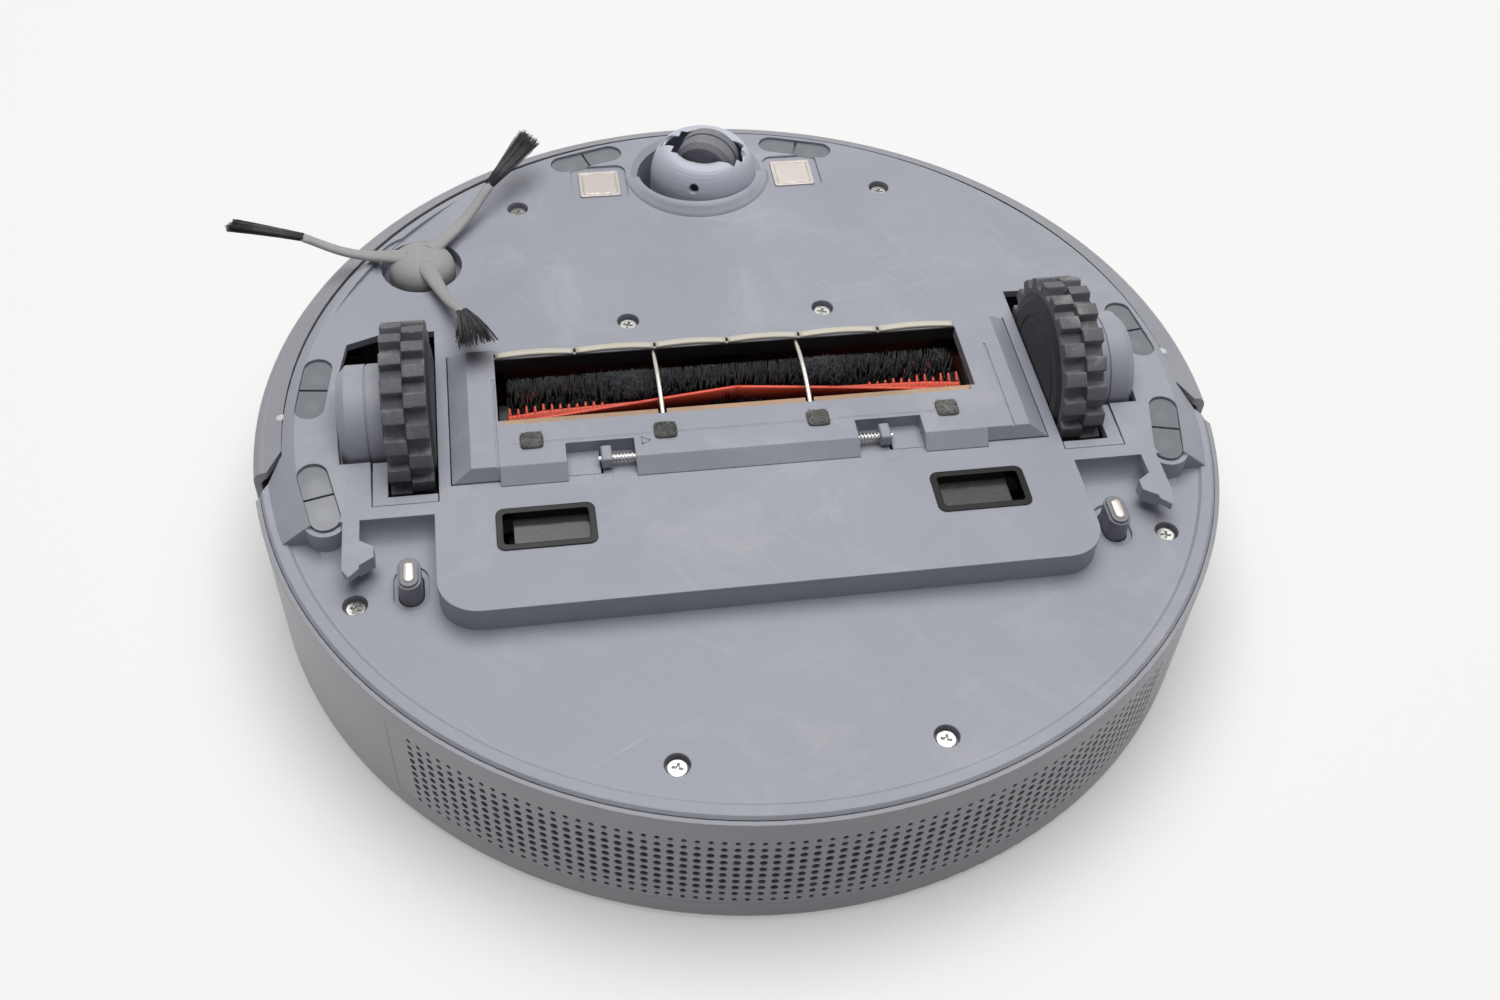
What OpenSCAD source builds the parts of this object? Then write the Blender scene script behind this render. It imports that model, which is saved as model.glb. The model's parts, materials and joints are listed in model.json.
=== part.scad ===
// Robot vacuum cleaner, standing on its wheels with the suspension hanging free.
// X runs across, -Y is the front (bumper and caster), +Z is up. Z = 0 touches the tyres.

/* [Body] */
// Diameter of the whole body
body_d = 350; // [330:1:370]
// Height of the front plate and the platform above the ground with the wheels hanging
plate_z = 33; // [30:0.5:36]
// Height of the step between the front plate and the recessed rear plate
step_h = 10; // [8:0.5:11]
// Height of the side wall from the rear plate to the top
side_h = 58; // [54:0.5:66]
// Thickness of the side walls
wall = 2.4; // [2:0.1:3]
// Thickness of the bottom plates
skin = 3; // [2.6:0.1:3.4]
// Width of the flange between the front plate's drum and the outside
flange_w = 10.7; // [10:0.1:12]
// Width and height of the slope round the front plate
slope_w = 4.8; // [3:0.1:6]
// Height that the slope rises over its width
slope_h = 4; // [2:0.1:5]
// Distance from the centre line back to the step of the front plate
step_y = 48; // [46:0.5:49]
// General gap between pieces that are fitted together
fit_gap = 0.4; // [0.3:0.05:0.6]
// Radial clearance of pins and shafts in their bores
run_gap = 0.05; // [0.02:0.01:0.09]

/* [Platform] */
// Width of the platform behind the brush
platform_w = 223.5; // [218:0.5:226]
// Distance from the centre line back to the platform's rear edge
platform_y = 91.2; // [88:0.1:96]
// Radius of the platform's rear corners
platform_r = 14; // [8:0.5:18]
// Width of each bin window in the platform
window_w = 33.4; // [30:0.1:36]
// Depth of each bin window
window_d = 18.4; // [16:0.1:20]
// Distance of each bin window's centre from the middle
window_x = 75; // [70:0.5:78]
// Distance of the bin windows' centres behind the centre line
window_y = 57.8; // [56:0.1:64]

/* [Grille] */
// Columns of holes in the exhaust grille
grille_cols = 68; // [40:2:72]
// Rows of holes in the exhaust grille
grille_rows = 10; // [6:1:11]
// Angle between two columns
grille_step = 1.343; // [1.3:0.001:1.5]
// Height between two rows
grille_pitch = 3.81; // [3.6:0.01:4.2]
// Radius of the largest holes
grille_hole_r = 1.25; // [1:0.05:1.4]

/* [Wheels] */
// Radius over the tread lugs of the drive wheels
wheel_r = 34; // [32:0.1:34.5]
// Width of the drive tyres
tyre_w = 15; // [14:0.1:15.4]
// Distance from the middle to the inner face of each tyre
tyre_x = 111.4; // [111.2:0.1:112]
// Thickness of the tyre on its hub, lugs included
tyre_t = 5.5; // [5:0.1:8]
// Height of the tread lugs
lug_h = 3.4; // [2.6:0.1:3.8]
// Lugs in each of the two rows
lug_count = 20; // [16:1:22]
// Distance of the suspension pivot behind the wheel axis
pivot_y = 30; // [29:0.1:31]
// Height of the suspension pivot above the wheel axis
pivot_h = 21; // [20:0.1:23]
// Radius of the gearbox cap beside the tyre
gearbox_r = 20; // [17:0.1:20.4]
// Width of the gearbox
gearbox_w = 15.5; // [14:0.1:16]
// Radius of the drive shafts
shaft_r = 4; // [3:0.1:5]
// Radius of the suspension pins
pivot_r = 2.5; // [2:0.1:3]
// Length of the drive motors
motor_l = 15; // [12:0.5:16]
// Radius of the drive motors
motor_r = 9.5; // [8:0.1:10]

/* [Caster] */
// Distance of the caster's swivel axis to the side of the middle
caster_x = 0.5; // [-1:0.1:1]
// Distance of the caster's swivel axis ahead of the centre line
caster_y = 132; // [130:0.5:134]
// Radius of the caster's opening in the plate
caster_hole_r = 25; // [24:0.1:26]
// Radius of the caster wheel
caster_wheel_r = 12.5; // [11:0.1:13]
// Width of the caster wheel
caster_wheel_w = 14; // [12:0.5:15]
// Height of the caster wheel's lowest point
caster_low = 13.5; // [12:0.1:16]
// Distance that the caster wheel trails its swivel axis
caster_trail = 4.5; // [3:0.1:5]
// Angle that the caster is turned to at rest
caster_turn = 23.6; // [-180:0.5:180]
// Radius of the caster's stem
stem_r = 3; // [2.5:0.1:4]

/* [Main brush] */
// Radius over the bristles of the roller
roller_r = 18.4; // [17:0.1:19]
// Radius of the roller's core
core_r = 8.5; // [7:0.1:10]
// Length of the roller between its bearings
roller_l = 172; // [165:1:174]
// Distance of the brush window's middle from the body's middle
brush_x = -2.3; // [-4:0.1:0]
// Distance of the roller axis ahead of the centre line
roller_y = 4.5; // [3:0.1:6]
// Height of the roller axis above the front plate
roller_h = 15; // [14:0.1:17]
// Width of the opening in the brush cover
mouth_w = 172.5; // [165:0.5:174]
// Height that the brush cover stands proud of the plate
cover_proud = 5; // [3:0.1:6]
// Width of the opening that the brush cover sits in
cover_bay_w = 212; // [208:0.5:214]

/* [Side brush] */
// Distance of the side brush to the side of the middle
side_x = 114; // [112:0.5:116]
// Distance of the side brush ahead of the centre line
side_y = 84; // [82:0.5:86]
// Radius of the side brush hub
side_hub_r = 13.6; // [12:0.1:14]
// Reach of the rubber arms from the hub's axis
arm_reach = 45; // [40:0.5:47]
// Reach of the bristle tips from the hub's axis
tip_reach = 76; // [65:0.5:78]
// Drop of the arms' ends below the front plate
arm_drop = 10.4; // [8:0.1:12]
// Height of the bristle tips
tip_z = 15.5; // [14.5:0.1:18]

/* [Bumper] */
// Travel of the bumper when it is pushed
bumper_travel = 3; // [2:0.1:3.2]
// Gap between the bumper's ends and the rear shell
notch_gap = 3.5; // [3.4:0.1:5]
// Half angle of the sensor window in the bumper
bumper_window_a = 34; // [20:1:40]

/* [Top] */
// Thickness of the top cover and the lid
top_t = 2.8; // [2.4:0.1:3.2]
// Width of the dust bin lid
lid_w = 184; // [170:1:190]
// Distance of the lid's hinge behind the centre line
lid_y = 36; // [34:0.5:40]
// Length of the lid from its hinge to its rear edge
lid_l = 84; // [76:0.5:88]
// Radius of the two buttons
button_r = 8; // [6:0.1:10]
// Travel of the two buttons
button_travel = 1.2; // [0.8:0.1:1.5]
// Radius of the camera window
camera_r = 13; // [10:0.5:16]

/* [Hidden] */

shell_grey = [0.52, 0.52, 0.51];
plate_grey = [0.60, 0.61, 0.65];
rubber_grey = [0.34, 0.34, 0.36];
big = 400;
nudge = 0.01;

body_r = body_d / 2;
front_r = body_r - flange_w;
hub_r = wheel_r - tyre_t;
rear_z = plate_z + step_h;
top_z = rear_z + side_h;
seam_r = body_r - 1.8;
plate_in = plate_z + skin;
slope_r = front_r - slope_w;
ring_r = body_r - 6.5;

// ---- shared shapes ----

// A bar with round ends, lying along X, standing on Z = 0
module pill(length, width, height) {
  translate([0, 0, height / 2]) cube([length - width, width, height], center = true);
  for (s = [-1, 1])
    translate([s * (length - width) / 2, 0, 0]) cylinder(r = width / 2, h = height, $fn = 40);
}

// A block with round upright edges, centred on X and Y
module round_block(w, d, h, r) {
  linear_extrude(h) round_square(w, d, r);
}

module round_square(w, d, r) {
  square([w - 2 * r, d], center = true);
  square([w, d - 2 * r], center = true);
  for (sx = [-1, 1], sy = [-1, 1])
    translate([sx * (w / 2 - r), sy * (d / 2 - r)]) circle(r = r, $fn = 48);
}

// A tube standing on Z = 0
module tube(outer, inner, h, fn = 64) {
  difference() {
    cylinder(r = outer, h = h, $fn = fn);
    translate([0, 0, -nudge]) cylinder(r = inner, h = h + 2 * nudge, $fn = fn);
  }
}

// Turns a shape that was extruded upwards so that it runs along +X
module along_x() { rotate([90, 0, 90]) children(); }

// Square-section coil spring round Z
module coil(r, wire, pitch, turns) {
  span = 360 * wire / pitch;
  steps = 3;
  outer = [for (i = [0:steps]) (r + wire / 2) * [cos(i * span / steps), sin(i * span / steps)]];
  inner = [for (i = [steps:-1:0]) (r - wire / 2) * [cos(i * span / steps), sin(i * span / steps)]];
  linear_extrude(height = pitch * turns, twist = -360 * turns, slices = 12 * turns)
    polygon(concat(outer, inner));
}

// Both sides of the body: children() once as drawn (+X) and once mirrored
module both_sides() {
  children();
  mirror([1, 0, 0]) children();
}

// ---- plan shapes ----

// Everything behind the slanted ends of the bumper, moved back by shift
module behind_notch(shift) {
  lean = 12 / 7;
  y0 = 7.7 + shift;
  reach = 16;
  polygon([[-front_r, y0], [-front_r - reach, y0 + reach * lean], [-front_r - reach, big],
    [front_r + reach, big], [front_r + reach, y0 + reach * lean], [front_r, y0]]);
}

module platform_plan(inset) {
  w = platform_w - 2 * inset;
  d = platform_y - inset;
  translate([0, (d - 20) / 2 + 10]) round_square(w, d, platform_r - inset);
}

// Opening for a drive wheel and its gearbox, on the +X side
module well_plan() {
  polygon([[110, -44], [131, -43.5], [142, -39.5], [145, -22], [144.8, 1], [143.5, 21.5],
    [133, 21.5], [132.5, 42.5], [110, 42.5]]);
}

// Guide tabs of the bumper
tab_x = 62;
tab_y = body_r - 23;
tab_z = 53;
tab_w = 12;
tab_t = 2;

cover_bay_y0 = -28.8;
cover_bay_y1 = 35.8;

// Latches of the brush cover
latch_x = [-54.2, 48.3];
latch_hook_w = 5;
latch_hook_l = 4;

module cover_bay() {
  translate([-cover_bay_w / 2, cover_bay_y0]) square([cover_bay_w, cover_bay_y1 - cover_bay_y0]);
}

// ---- places that repeat ----

screw_front = [[75, -114.8], [37.5, -42]];
screw_rear = [[139, 76], [42.2, 149.7]];
screw_r = 3.1;
screw_well_r = 4.2;
screw_well_d = 4;
shank_r = 1.5;

module at_front_screws() {
  for (p = screw_front, s = [-1, 1]) translate([s * p[0], p[1], plate_z]) children();
}
module at_rear_screws() {
  for (p = screw_rear, s = [-1, 1]) translate([s * p[0], p[1], rear_z]) children();
}

// Cliff sensors: angle from the front and radius of each pair
cliff_places = [[17, 152.6], [83.5, 154.3], [103.2, 154.3]];
cliff_l = 31;
cliff_w = 10.5;

module at_cliffs() {
  for (c = cliff_places, s = [-1, 1])
    rotate([0, 0, s * c[0]]) translate([0, -c[1], plate_z]) children();
}

contact_x = 40.6;
contact_y = 129;
contact_size = 16.8;

module at_charge_contacts() {
  for (s = [-1, 1]) translate([s * contact_x, -contact_y, plate_z]) children();
}

tank_x = 120.8;
tank_y = 71;
tank_l = 13.6;
tank_w = 7.6;

// ---- chassis ----

// Front plate with its sloped edge, as a solid block
module front_block(inset, z0) {
  rotate_extrude($fn = 240) polygon([[0, z0], [slope_r - inset * 0.5, z0],
    [front_r - inset, plate_z + slope_h + inset * 0.5], [front_r - inset, rear_z + skin + inset],
    [0, rear_z + skin + inset]]);
}

// Ring that carries the slope on to the seam beside the rear of the front plate
module rim_ring() {
  rotate_extrude($fn = 240) polygon([[front_r - 1, plate_z + slope_h - 0.8],
    [front_r, plate_z + slope_h], [ring_r + 1.5, rear_z - 1], [seam_r - 1, rear_z - 1],
    [seam_r, rear_z], [seam_r, rear_z + skin], [front_r - 1, rear_z + skin]]);
}

module rear_plate() {
  rotate_extrude($fn = 240) polygon([[0, rear_z], [ring_r - 1, rear_z], [ring_r, rear_z - 1],
    [seam_r - 1, rear_z - 1], [seam_r, rear_z], [seam_r, rear_z + skin], [0, rear_z + skin]]);
}

// Concave cove between the step and the rear plate
cove_r = 7;
module cove() {
  difference() {
    translate([platform_w / 2 - 1, step_y - 1, rear_z - cove_r])
      cube([43, cove_r + 1, cove_r + 1]);
    translate([0, step_y + cove_r, rear_z - cove_r]) along_x()
      translate([0, 0, 100]) cylinder(r = cove_r, h = 80, $fn = 64);
  }
}

// Spring hook that the mop plate clips on to, on the +X side
hook_x = 139.3;
hook_w = 5.6;
hook_end = 69;
module tank_hook() {
  translate([hook_x, 0, plate_z]) linear_extrude(3) polygon([[-hook_w / 2, step_y - 3],
    [hook_w / 2, step_y - 3], [hook_w / 2, hook_end], [0.6, hook_end + 3.4],
    [-hook_w / 2, hook_end]]);
  translate([hook_x - hook_w / 2 + 0.5, 0, plate_z]) linear_extrude(5.5)
    polygon([[0, 56.5], [-5.2, 60], [-5.2, 64.5], [0, 68]]);
}

// Boss with a sunk screw seat, drawn upwards from the outer face of a plate
screw_boss_r = 6.4;
module screw_boss() { cylinder(r = screw_boss_r, h = screw_well_d + 3, $fn = 40); }
module screw_seat() {
  translate([0, 0, -1]) cylinder(r = screw_well_r, h = screw_well_d + 1, $fn = 40);
  cylinder(r = shank_r + run_gap, h = 20, $fn = 24);
}

socket_top = plate_z + 30;
stem_boss_h = 12;
side_well_r = side_hub_r + 1.9;
side_well_h = 9;
drum_top = top_z - top_t;

module chassis_shell() {
  // front plate, hollow from above
  intersection() {
    difference() {
      front_block(0, plate_z);
      intersection() {
        front_block(wall, plate_in);
        translate([-big, -big, 0]) cube([2 * big, big + step_y - wall, big]);
      }
    }
    translate([-big, -big, 0]) cube([2 * big, big + step_y, big]);
  }
  // slope that runs on beside the wheels
  intersection() {
    rim_ring();
    linear_extrude(big) behind_notch(notch_gap);
    translate([-big, -big, 0]) cube([2 * big, big + step_y, big]);
  }
  // rear plate and platform, hollow from above
  difference() {
    intersection() {
      union() {
        rear_plate();
        translate([0, 0, plate_z]) linear_extrude(step_h + skin) platform_plan(0);
      }
      translate([-big, step_y - wall, 0]) cube([2 * big, big, big]);
    }
    translate([-platform_w / 2 + wall, step_y, plate_in])
      cube([platform_w - 2 * wall, platform_y - platform_r - step_y, big]);
    translate([0, 0, plate_in]) linear_extrude(big) platform_plan(wall);
  }
  both_sides() intersection() {
    cove();
    cylinder(r = slope_r, h = big, $fn = 240);
  }
  // drum behind the bumper, which carries the top cover
  intersection() {
    translate([0, 0, plate_z + slope_h]) tube(front_r, front_r - wall, drum_top - plate_z - slope_h, 240);
    translate([-big, -big, 0]) cube([2 * big, big + 7.7, big]);
  }
}

module chassis() {
  color(plate_grey) difference() {
    union() {
      chassis_shell();
      both_sides() tank_hook();
      at_front_screws() screw_boss();
      at_rear_screws() screw_boss();
      at_cliffs() translate([0, 0, skin - 1]) pill(cliff_l + 4, cliff_w + 4, 8);
      translate([caster_x, -caster_y, plate_in - 1])
        cylinder(r = caster_hole_r + wall, h = socket_top - plate_in + 1, $fn = 96);
      translate([caster_x, -caster_y, socket_top - 1]) cylinder(r = 8, h = stem_boss_h + 1, $fn = 48);
      translate([-side_x, -side_y, plate_in - 1])
        cylinder(r = side_well_r + 3.4, h = side_well_h + 1, $fn = 96);
      at_charge_contacts() translate([0, 0, skin - 0.5])
        round_block(contact_size + 10, contact_size + 10, 2.5, 4);
      for (s = [-1, 1]) translate([s * tank_x, tank_y, rear_z + skin - 1]) rotate([0, 0, 90])
        pill(tank_l + 6, tank_w + 6, 8);
      board_posts();
    }
    // wheel openings and the bay of the brush cover
    both_sides() translate([0, 0, plate_z - 1]) linear_extrude(skin + 2) well_plan();
    translate([0, 0, plate_z - 1]) linear_extrude(skin + 2) cover_bay();
    // slots that the cover's latches hook through
    for (x = latch_x) translate([x - latch_hook_w / 2 - 0.6, cover_bay_y1 - 1, plate_z - 1])
      cube([latch_hook_w + 1.2, latch_hook_l + 1.6, skin + 2]);
    // slots for the bumper's guide tabs
    for (s = [-1, 1]) translate([s * tab_x, -tab_y, tab_z])
      cube([tab_w + 1, 30, tab_t + 0.8], center = true);
    // screw seats
    at_front_screws() screw_seat();
    at_rear_screws() screw_seat();
    // caster socket with a soft lip
    translate([caster_x, -caster_y, plate_z - 1])
      cylinder(r = caster_hole_r, h = socket_top - plate_z - skin + 1, $fn = 96);
    translate([caster_x, -caster_y, plate_z - nudge])
      cylinder(r1 = caster_hole_r + 2.6, r2 = caster_hole_r, h = 2, $fn = 96);
    translate([caster_x, -caster_y, socket_top - 5])
      cylinder(r = stem_r + run_gap, h = stem_boss_h + 10, $fn = 40);
    // side brush well, its groove and the dished sweep round it
    translate([-side_x, -side_y, plate_z - 1]) cylinder(r = side_well_r, h = side_well_h, $fn = 96);
    translate([-side_x, -side_y, plate_z - 1]) cylinder(r = 3.1, h = side_well_h + 10, $fn = 32);
    translate([-side_x, -side_y, plate_z - nudge]) cylinder(r = side_well_r + 2.4, h = 1.2, $fn = 96);
    intersection() {
      translate([-side_x, -side_y, plate_z - nudge]) cylinder(r1 = 42, r2 = 24, h = 1.6, $fn = 96);
      cylinder(r = slope_r - 2, h = big, $fn = 240);
    }
    // cliff sensor pockets
    at_cliffs() translate([0, 0, -4]) pill(cliff_l, cliff_w, 12);
    // charging contact pockets
    at_charge_contacts() {
      translate([0, 0, -1]) round_block(contact_size + 6, contact_size + 6, 2, 4);
      translate([0, 0, -1]) round_block(contact_size, contact_size, 3.2, 0.8);
    }
    // bin windows
    for (s = [-1, 1]) translate([s * window_x, window_y, plate_z - 1])
      round_block(window_w, window_d, skin + 2, 3);
    // tank contact guides
    for (s = [-1, 1]) translate([s * tank_x, tank_y, rear_z - 2]) rotate([0, 0, 90]) {
      pill(tank_l + 5.4, tank_w + 4, 3);
      pill(tank_l + 2 * fit_gap, tank_w + 2 * fit_gap, 20);
    }
  }
}

board_z = 80;
board_w = 150;
board_d = 66;
board_y = -69;
module board_posts() {
  for (sx = [-1, 1], sy = [-1, 1])
    translate([sx * (board_w / 2 - 5), board_y + sy * (board_d / 2 - 5), plate_in - 1])
      cylinder(r = 3.5, h = board_z - plate_in + 1, $fn = 32);
}

// ---- shells ----

// Curved wall between two angles, made of one flat strip for each grille column
function arc_points(r, a0, n) =
  [for (i = [0:n]) r * [cos(a0 + i * grille_step), sin(a0 + i * grille_step)]];

grille_row_z = top_z - 13 - (grille_rows - 1) * grille_pitch;

// Holes shrink in the two outer rows of each edge
function grille_r(row) = let (edge = min(row, grille_rows - 1 - row))
  edge == 0 ? grille_hole_r * 0.68 : edge == 1 ? grille_hole_r * 0.84 : grille_hole_r;

module grille_holes() {
  for (c = [0:grille_cols - 1])
    rotate([0, 0, 90 + (c - (grille_cols - 1) / 2) * grille_step])
      for (row = [0:grille_rows - 1])
        translate([body_r - wall - 3, 0, grille_row_z + row * grille_pitch]) rotate([0, 90, 0])
          cylinder(r = grille_r(row), h = wall + 6, $fn = 16);
}

shell_z = rear_z + 0.2;
shell_edge = 3;

// Profile of the smooth part of the rear wall, with its turned-in top edge
module shell_profile() {
  difference() {
    union() {
      translate([body_r - wall, shell_z]) square([wall, top_z - shell_edge - shell_z]);
      translate([body_r - shell_edge, top_z - shell_edge]) circle(r = shell_edge, $fn = 64);
      translate([body_r - wall - 5.6, top_z - top_t]) square([wall + 2.6, top_t]);
      translate([body_r - wall - 5.6, top_z - 2 * top_t]) square([5.8, top_t]);
    }
    translate([0, top_z - top_t]) square([body_r - 3.2, 10]);
    translate([body_r - 3.4, shell_z - 1]) square([3.4 - 1.6, rear_z + skin - shell_z + 1]);
  }
}

module rear_shell() {
  cols = grille_cols + 4;
  field_h = (grille_rows - 1) * grille_pitch + 6;
  lap = 1;
  color(shell_grey) difference() {
    union() {
      // smooth wall at both ends of the grille
      intersection() {
        rotate_extrude($fn = 360) shell_profile();
        linear_extrude(big) behind_notch(notch_gap);
      }
      // end walls that close the gaps beside the bumper
      both_sides() intersection() {
        translate([0, 0, rear_z + skin]) linear_extrude(drum_top - rear_z - skin) difference() {
          behind_notch(notch_gap);
          translate([0, wall]) behind_notch(notch_gap);
        }
        difference() {
          cylinder(r = body_r - wall / 2, h = big, $fn = 240);
          translate([0, 0, -1]) cylinder(r = front_r + fit_gap, h = big, $fn = 240);
        }
        translate([0, -big, 0]) cube([big, 2 * big, big]);
      }
    }
    // flat-stripped field for the grille
    translate([0, 0, grille_row_z - 3]) linear_extrude(field_h) difference() {
      polygon(concat([[0, 0]], arc_points(body_r + 4, 90 - cols * grille_step / 2, cols)));
      circle(r = body_r - wall - 4, $fn = 120);
    }
  }
  // the strips reach a little into the smooth wall on every side
  color(shell_grey) difference() {
    translate([0, 0, grille_row_z - 3 - lap]) linear_extrude(field_h + 2 * lap) difference() {
      polygon(concat([[0, 0]],
        arc_points(body_r - 0.06, 90 - (cols / 2 + lap) * grille_step, cols + 2 * lap)));
      polygon(concat([[0, -1]],
        arc_points(body_r - wall + 0.1, 90 - (cols / 2 + lap) * grille_step, cols + 2 * lap)));
    }
    grille_holes();
  }
}

// ---- top ----

cover_r = body_r - 3.4;
lid_gap = 0.5;
pin_r = 1;
hinge_y = lid_y + lid_gap + top_t / 2;
button_x = 12;
button_y = 92;
camera_y = 22;

module lid_plan(grow) {
  translate([0, lid_y + lid_l / 2]) round_square(lid_w + 2 * grow, lid_l + 2 * grow, 12 + grow);
}

module top_cover() {
  color(shell_grey) difference() {
    union() {
      translate([0, 0, drum_top]) linear_extrude(top_t) {
        circle(r = cover_r, $fn = 240);
        difference() {
          circle(r = body_r - 0.6, $fn = 240);
          behind_notch(notch_gap - 1);
        }
      }
      // rim under the lid, hinge bosses and button guides
      translate([0, 0, drum_top - 3]) linear_extrude(3 + nudge) difference() {
        lid_plan(3);
        lid_plan(-2.4);
      }
      for (s = [-1, 1]) translate([s * button_x, -button_y, drum_top - 4])
        cylinder(r = button_r + 1.6, h = 4.5, $fn = 64);
    }
    translate([0, 0, drum_top - nudge]) linear_extrude(10) lid_plan(0);
    // finger scoop at the lid's rear edge
    translate([0, lid_y + lid_l + 8, top_z + 12]) sphere(r = 15, $fn = 64);
    // groove that the hinge edge turns in
    translate([0, hinge_y, top_z - top_t / 2]) along_x() cylinder(r = top_t / 2 + lid_gap,
      h = lid_w + 2 * nudge, center = true, $fn = 48);
    translate([0, hinge_y, top_z - top_t / 2]) along_x()
      cylinder(r = pin_r + run_gap, h = lid_w + 6, center = true, $fn = 32);
    for (s = [-1, 1]) translate([s * button_x, -button_y, drum_top - 10])
      cylinder(r = button_r + 0.3, h = 20, $fn = 64);
    translate([0, -camera_y, drum_top - 5]) cylinder(r = camera_r - 1.5, h = 10, $fn = 64);
    translate([0, -camera_y, top_z - 1.4]) cylinder(r = camera_r + 0.1, h = 2, $fn = 64);
    // groove that parts the cover's edge from its top
    translate([0, 0, top_z - 0.4]) tube(body_r - 7, body_r - 8, 1, 240);
  }
}

module lid() {
  color(plate_grey) difference() {
    union() {
      translate([0, 0, drum_top]) linear_extrude(top_t) intersection() {
        lid_plan(-lid_gap);
        translate([-big, hinge_y]) square([2 * big, big]);
      }
      translate([0, hinge_y, top_z - top_t / 2]) along_x() cylinder(r = top_t / 2,
        h = lid_w - 18, center = true, $fn = 48);
      translate([0, hinge_y, top_z - top_t / 2]) along_x() cylinder(r = pin_r,
        h = lid_w + 4, center = true, $fn = 32);
    }
    translate([0, lid_y + lid_l + 8, top_z + 12]) sphere(r = 15.5, $fn = 64);
    translate([0, lid_y + lid_l / 2, top_z - 0.3]) linear_extrude(1) difference() {
      round_square(lid_w - 16, lid_l - 16, 8);
      round_square(lid_w - 17.4, lid_l - 17.4, 7.3);
    }
  }
}

module push_button(side) {
  translate([side * button_x, -button_y, 0]) {
    translate([0, 0, drum_top - 3]) cylinder(r = button_r, h = top_t + 2.8, $fn = 64);
    translate([0, 0, drum_top - 5.5]) cylinder(r = button_r + 1.4, h = 1.2, $fn = 64);
    translate([0, 0, drum_top - 6]) cylinder(r = 3, h = 3.5, $fn = 32);
  }
}

module camera_window() {
  color([0.05, 0.05, 0.06]) translate([0, -camera_y, 0]) {
    translate([0, 0, top_z - 1.4]) cylinder(r = camera_r, h = 1.4, $fn = 64);
    translate([0, 0, top_z - 9]) cylinder(r = camera_r - 5, h = 7.7, $fn = 64);
  }
}

// ---- fixed insides ----

module screw() {
  difference() {
    union() {
      cylinder(r = screw_r, h = 2.2, $fn = 40);
      cylinder(r = shank_r, h = 12, $fn = 24);
    }
    for (a = [0, 90]) rotate([0, 0, a + 20]) cube([3.6, 0.9, 2.4], center = true);
  }
}

module case_screws() {
  color([0.75, 0.75, 0.76]) {
    at_front_screws() translate([0, 0, screw_well_d - 2.2]) screw();
    at_rear_screws() translate([0, 0, screw_well_d - 2.2]) screw();
  }
}

module window_seals() {
  color([0.06, 0.06, 0.06]) for (s = [-1, 1])
    translate([s * window_x, window_y, plate_z - 0.5]) difference() {
      round_block(window_w - 0.1, window_d - 0.1, skin + 0.5, 2.9);
      translate([0, 0, -1]) round_block(window_w - 4.6, window_d - 4.6, skin + 3, 1.4);
    }
}

module charge_contacts() {
  color([0.8, 0.76, 0.74]) at_charge_contacts() difference() {
    translate([0, 0, 0.4]) round_block(contact_size - 0.2, contact_size - 0.2, 1.8, 1);
    translate([0, 0, 0.2]) difference() {
      round_block(contact_size - 2.6, contact_size - 2.6, 0.5, 0.8);
      round_block(contact_size - 3.6, contact_size - 3.6, 0.6, 0.6);
    }
  }
}

module cliff_lenses() {
  color([0.8, 0.85, 0.9, 0.5]) at_cliffs() difference() {
    translate([0, 0, 1]) pill(cliff_l - 0.4, cliff_w - 0.4, 7);
    translate([0, 0, 1]) cube([1, big, 3], center = true);
    for (s = [-1, 1]) translate([s * 7, 0, 3]) cylinder(r = 2.6, h = 6, $fn = 32);
  }
}

module main_board() {
  color([0.08, 0.3, 0.16]) translate([0, board_y, board_z + 0.8]) {
    cube([board_w, board_d, 1.6], center = true);
    for (p = [[-40, 8, 16], [12, -6, 12], [44, 12, 9]])
      translate([p[0], p[1], 1.4]) cube([p[2], p[2], 1.8], center = true);
    for (x = [-62, -54, 60]) translate([x, -22, 0.7]) cylinder(r = 3, h = 9, $fn = 32);
    for (s = [-1, 1]) translate([s * button_x, -button_y - board_y, 0.7])
      cylinder(r = 2.4, h = drum_top - 6 - board_z - button_travel - 1.9, $fn = 32);
    translate([0, 28, 2.4]) cube([46, 6, 5], center = true);
  }
}

battery_w = 118;
battery_d = 46;
battery_y = -75;
module battery() {
  cell_r = 11.4;
  color([0.12, 0.2, 0.5]) translate([0, battery_y, plate_in]) {
    translate([0, 0, 1]) cube([battery_w, battery_d, 2], center = true);
    for (s = [-1, 1]) translate([0, s * (cell_r + 0.2), cell_r + 1.8]) along_x()
      cylinder(r = cell_r, h = battery_w - 2, center = true, $fn = 64);
    for (s = [-1, 1]) translate([s * (battery_w / 2 - 1), 0, 12]) cube([2, battery_d, 24], center = true);
  }
}

// Box that the dust bin fills behind the brush
bin_w = 176;
bin_y0 = 49;
bin_y1 = 118;
bin_wall = 1.8;
bin_top = drum_top - 3.4;
fan_z = 69.4;
fan_r = 23;

module bin_block(inset) {
  translate([-bin_w / 2 + inset, bin_y0 + inset, rear_z + skin + 0.5 + inset])
    cube([bin_w - 2 * inset, bin_y1 - bin_y0 - 2 * inset, bin_top - rear_z - skin - 0.5]);
  translate([-bin_w / 2 + 2 + inset, bin_y0 + 1 + inset, plate_in + 0.3 + inset])
    cube([bin_w - 4 - 2 * inset, platform_y - wall - bin_y0 - 2 - 2 * inset, 20]);
}

module dust_bin() {
  color([0.25, 0.24, 0.24, 0.7]) difference() {
    bin_block(0);
    bin_block(bin_wall);
    // way in from the brush and way out to the fan
    translate([0, bin_y0, 60]) cube([86, 10, 17], center = true);
    translate([0, bin_y1, fan_z]) cube([104, 10, 34], center = true);
  }
}

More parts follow.
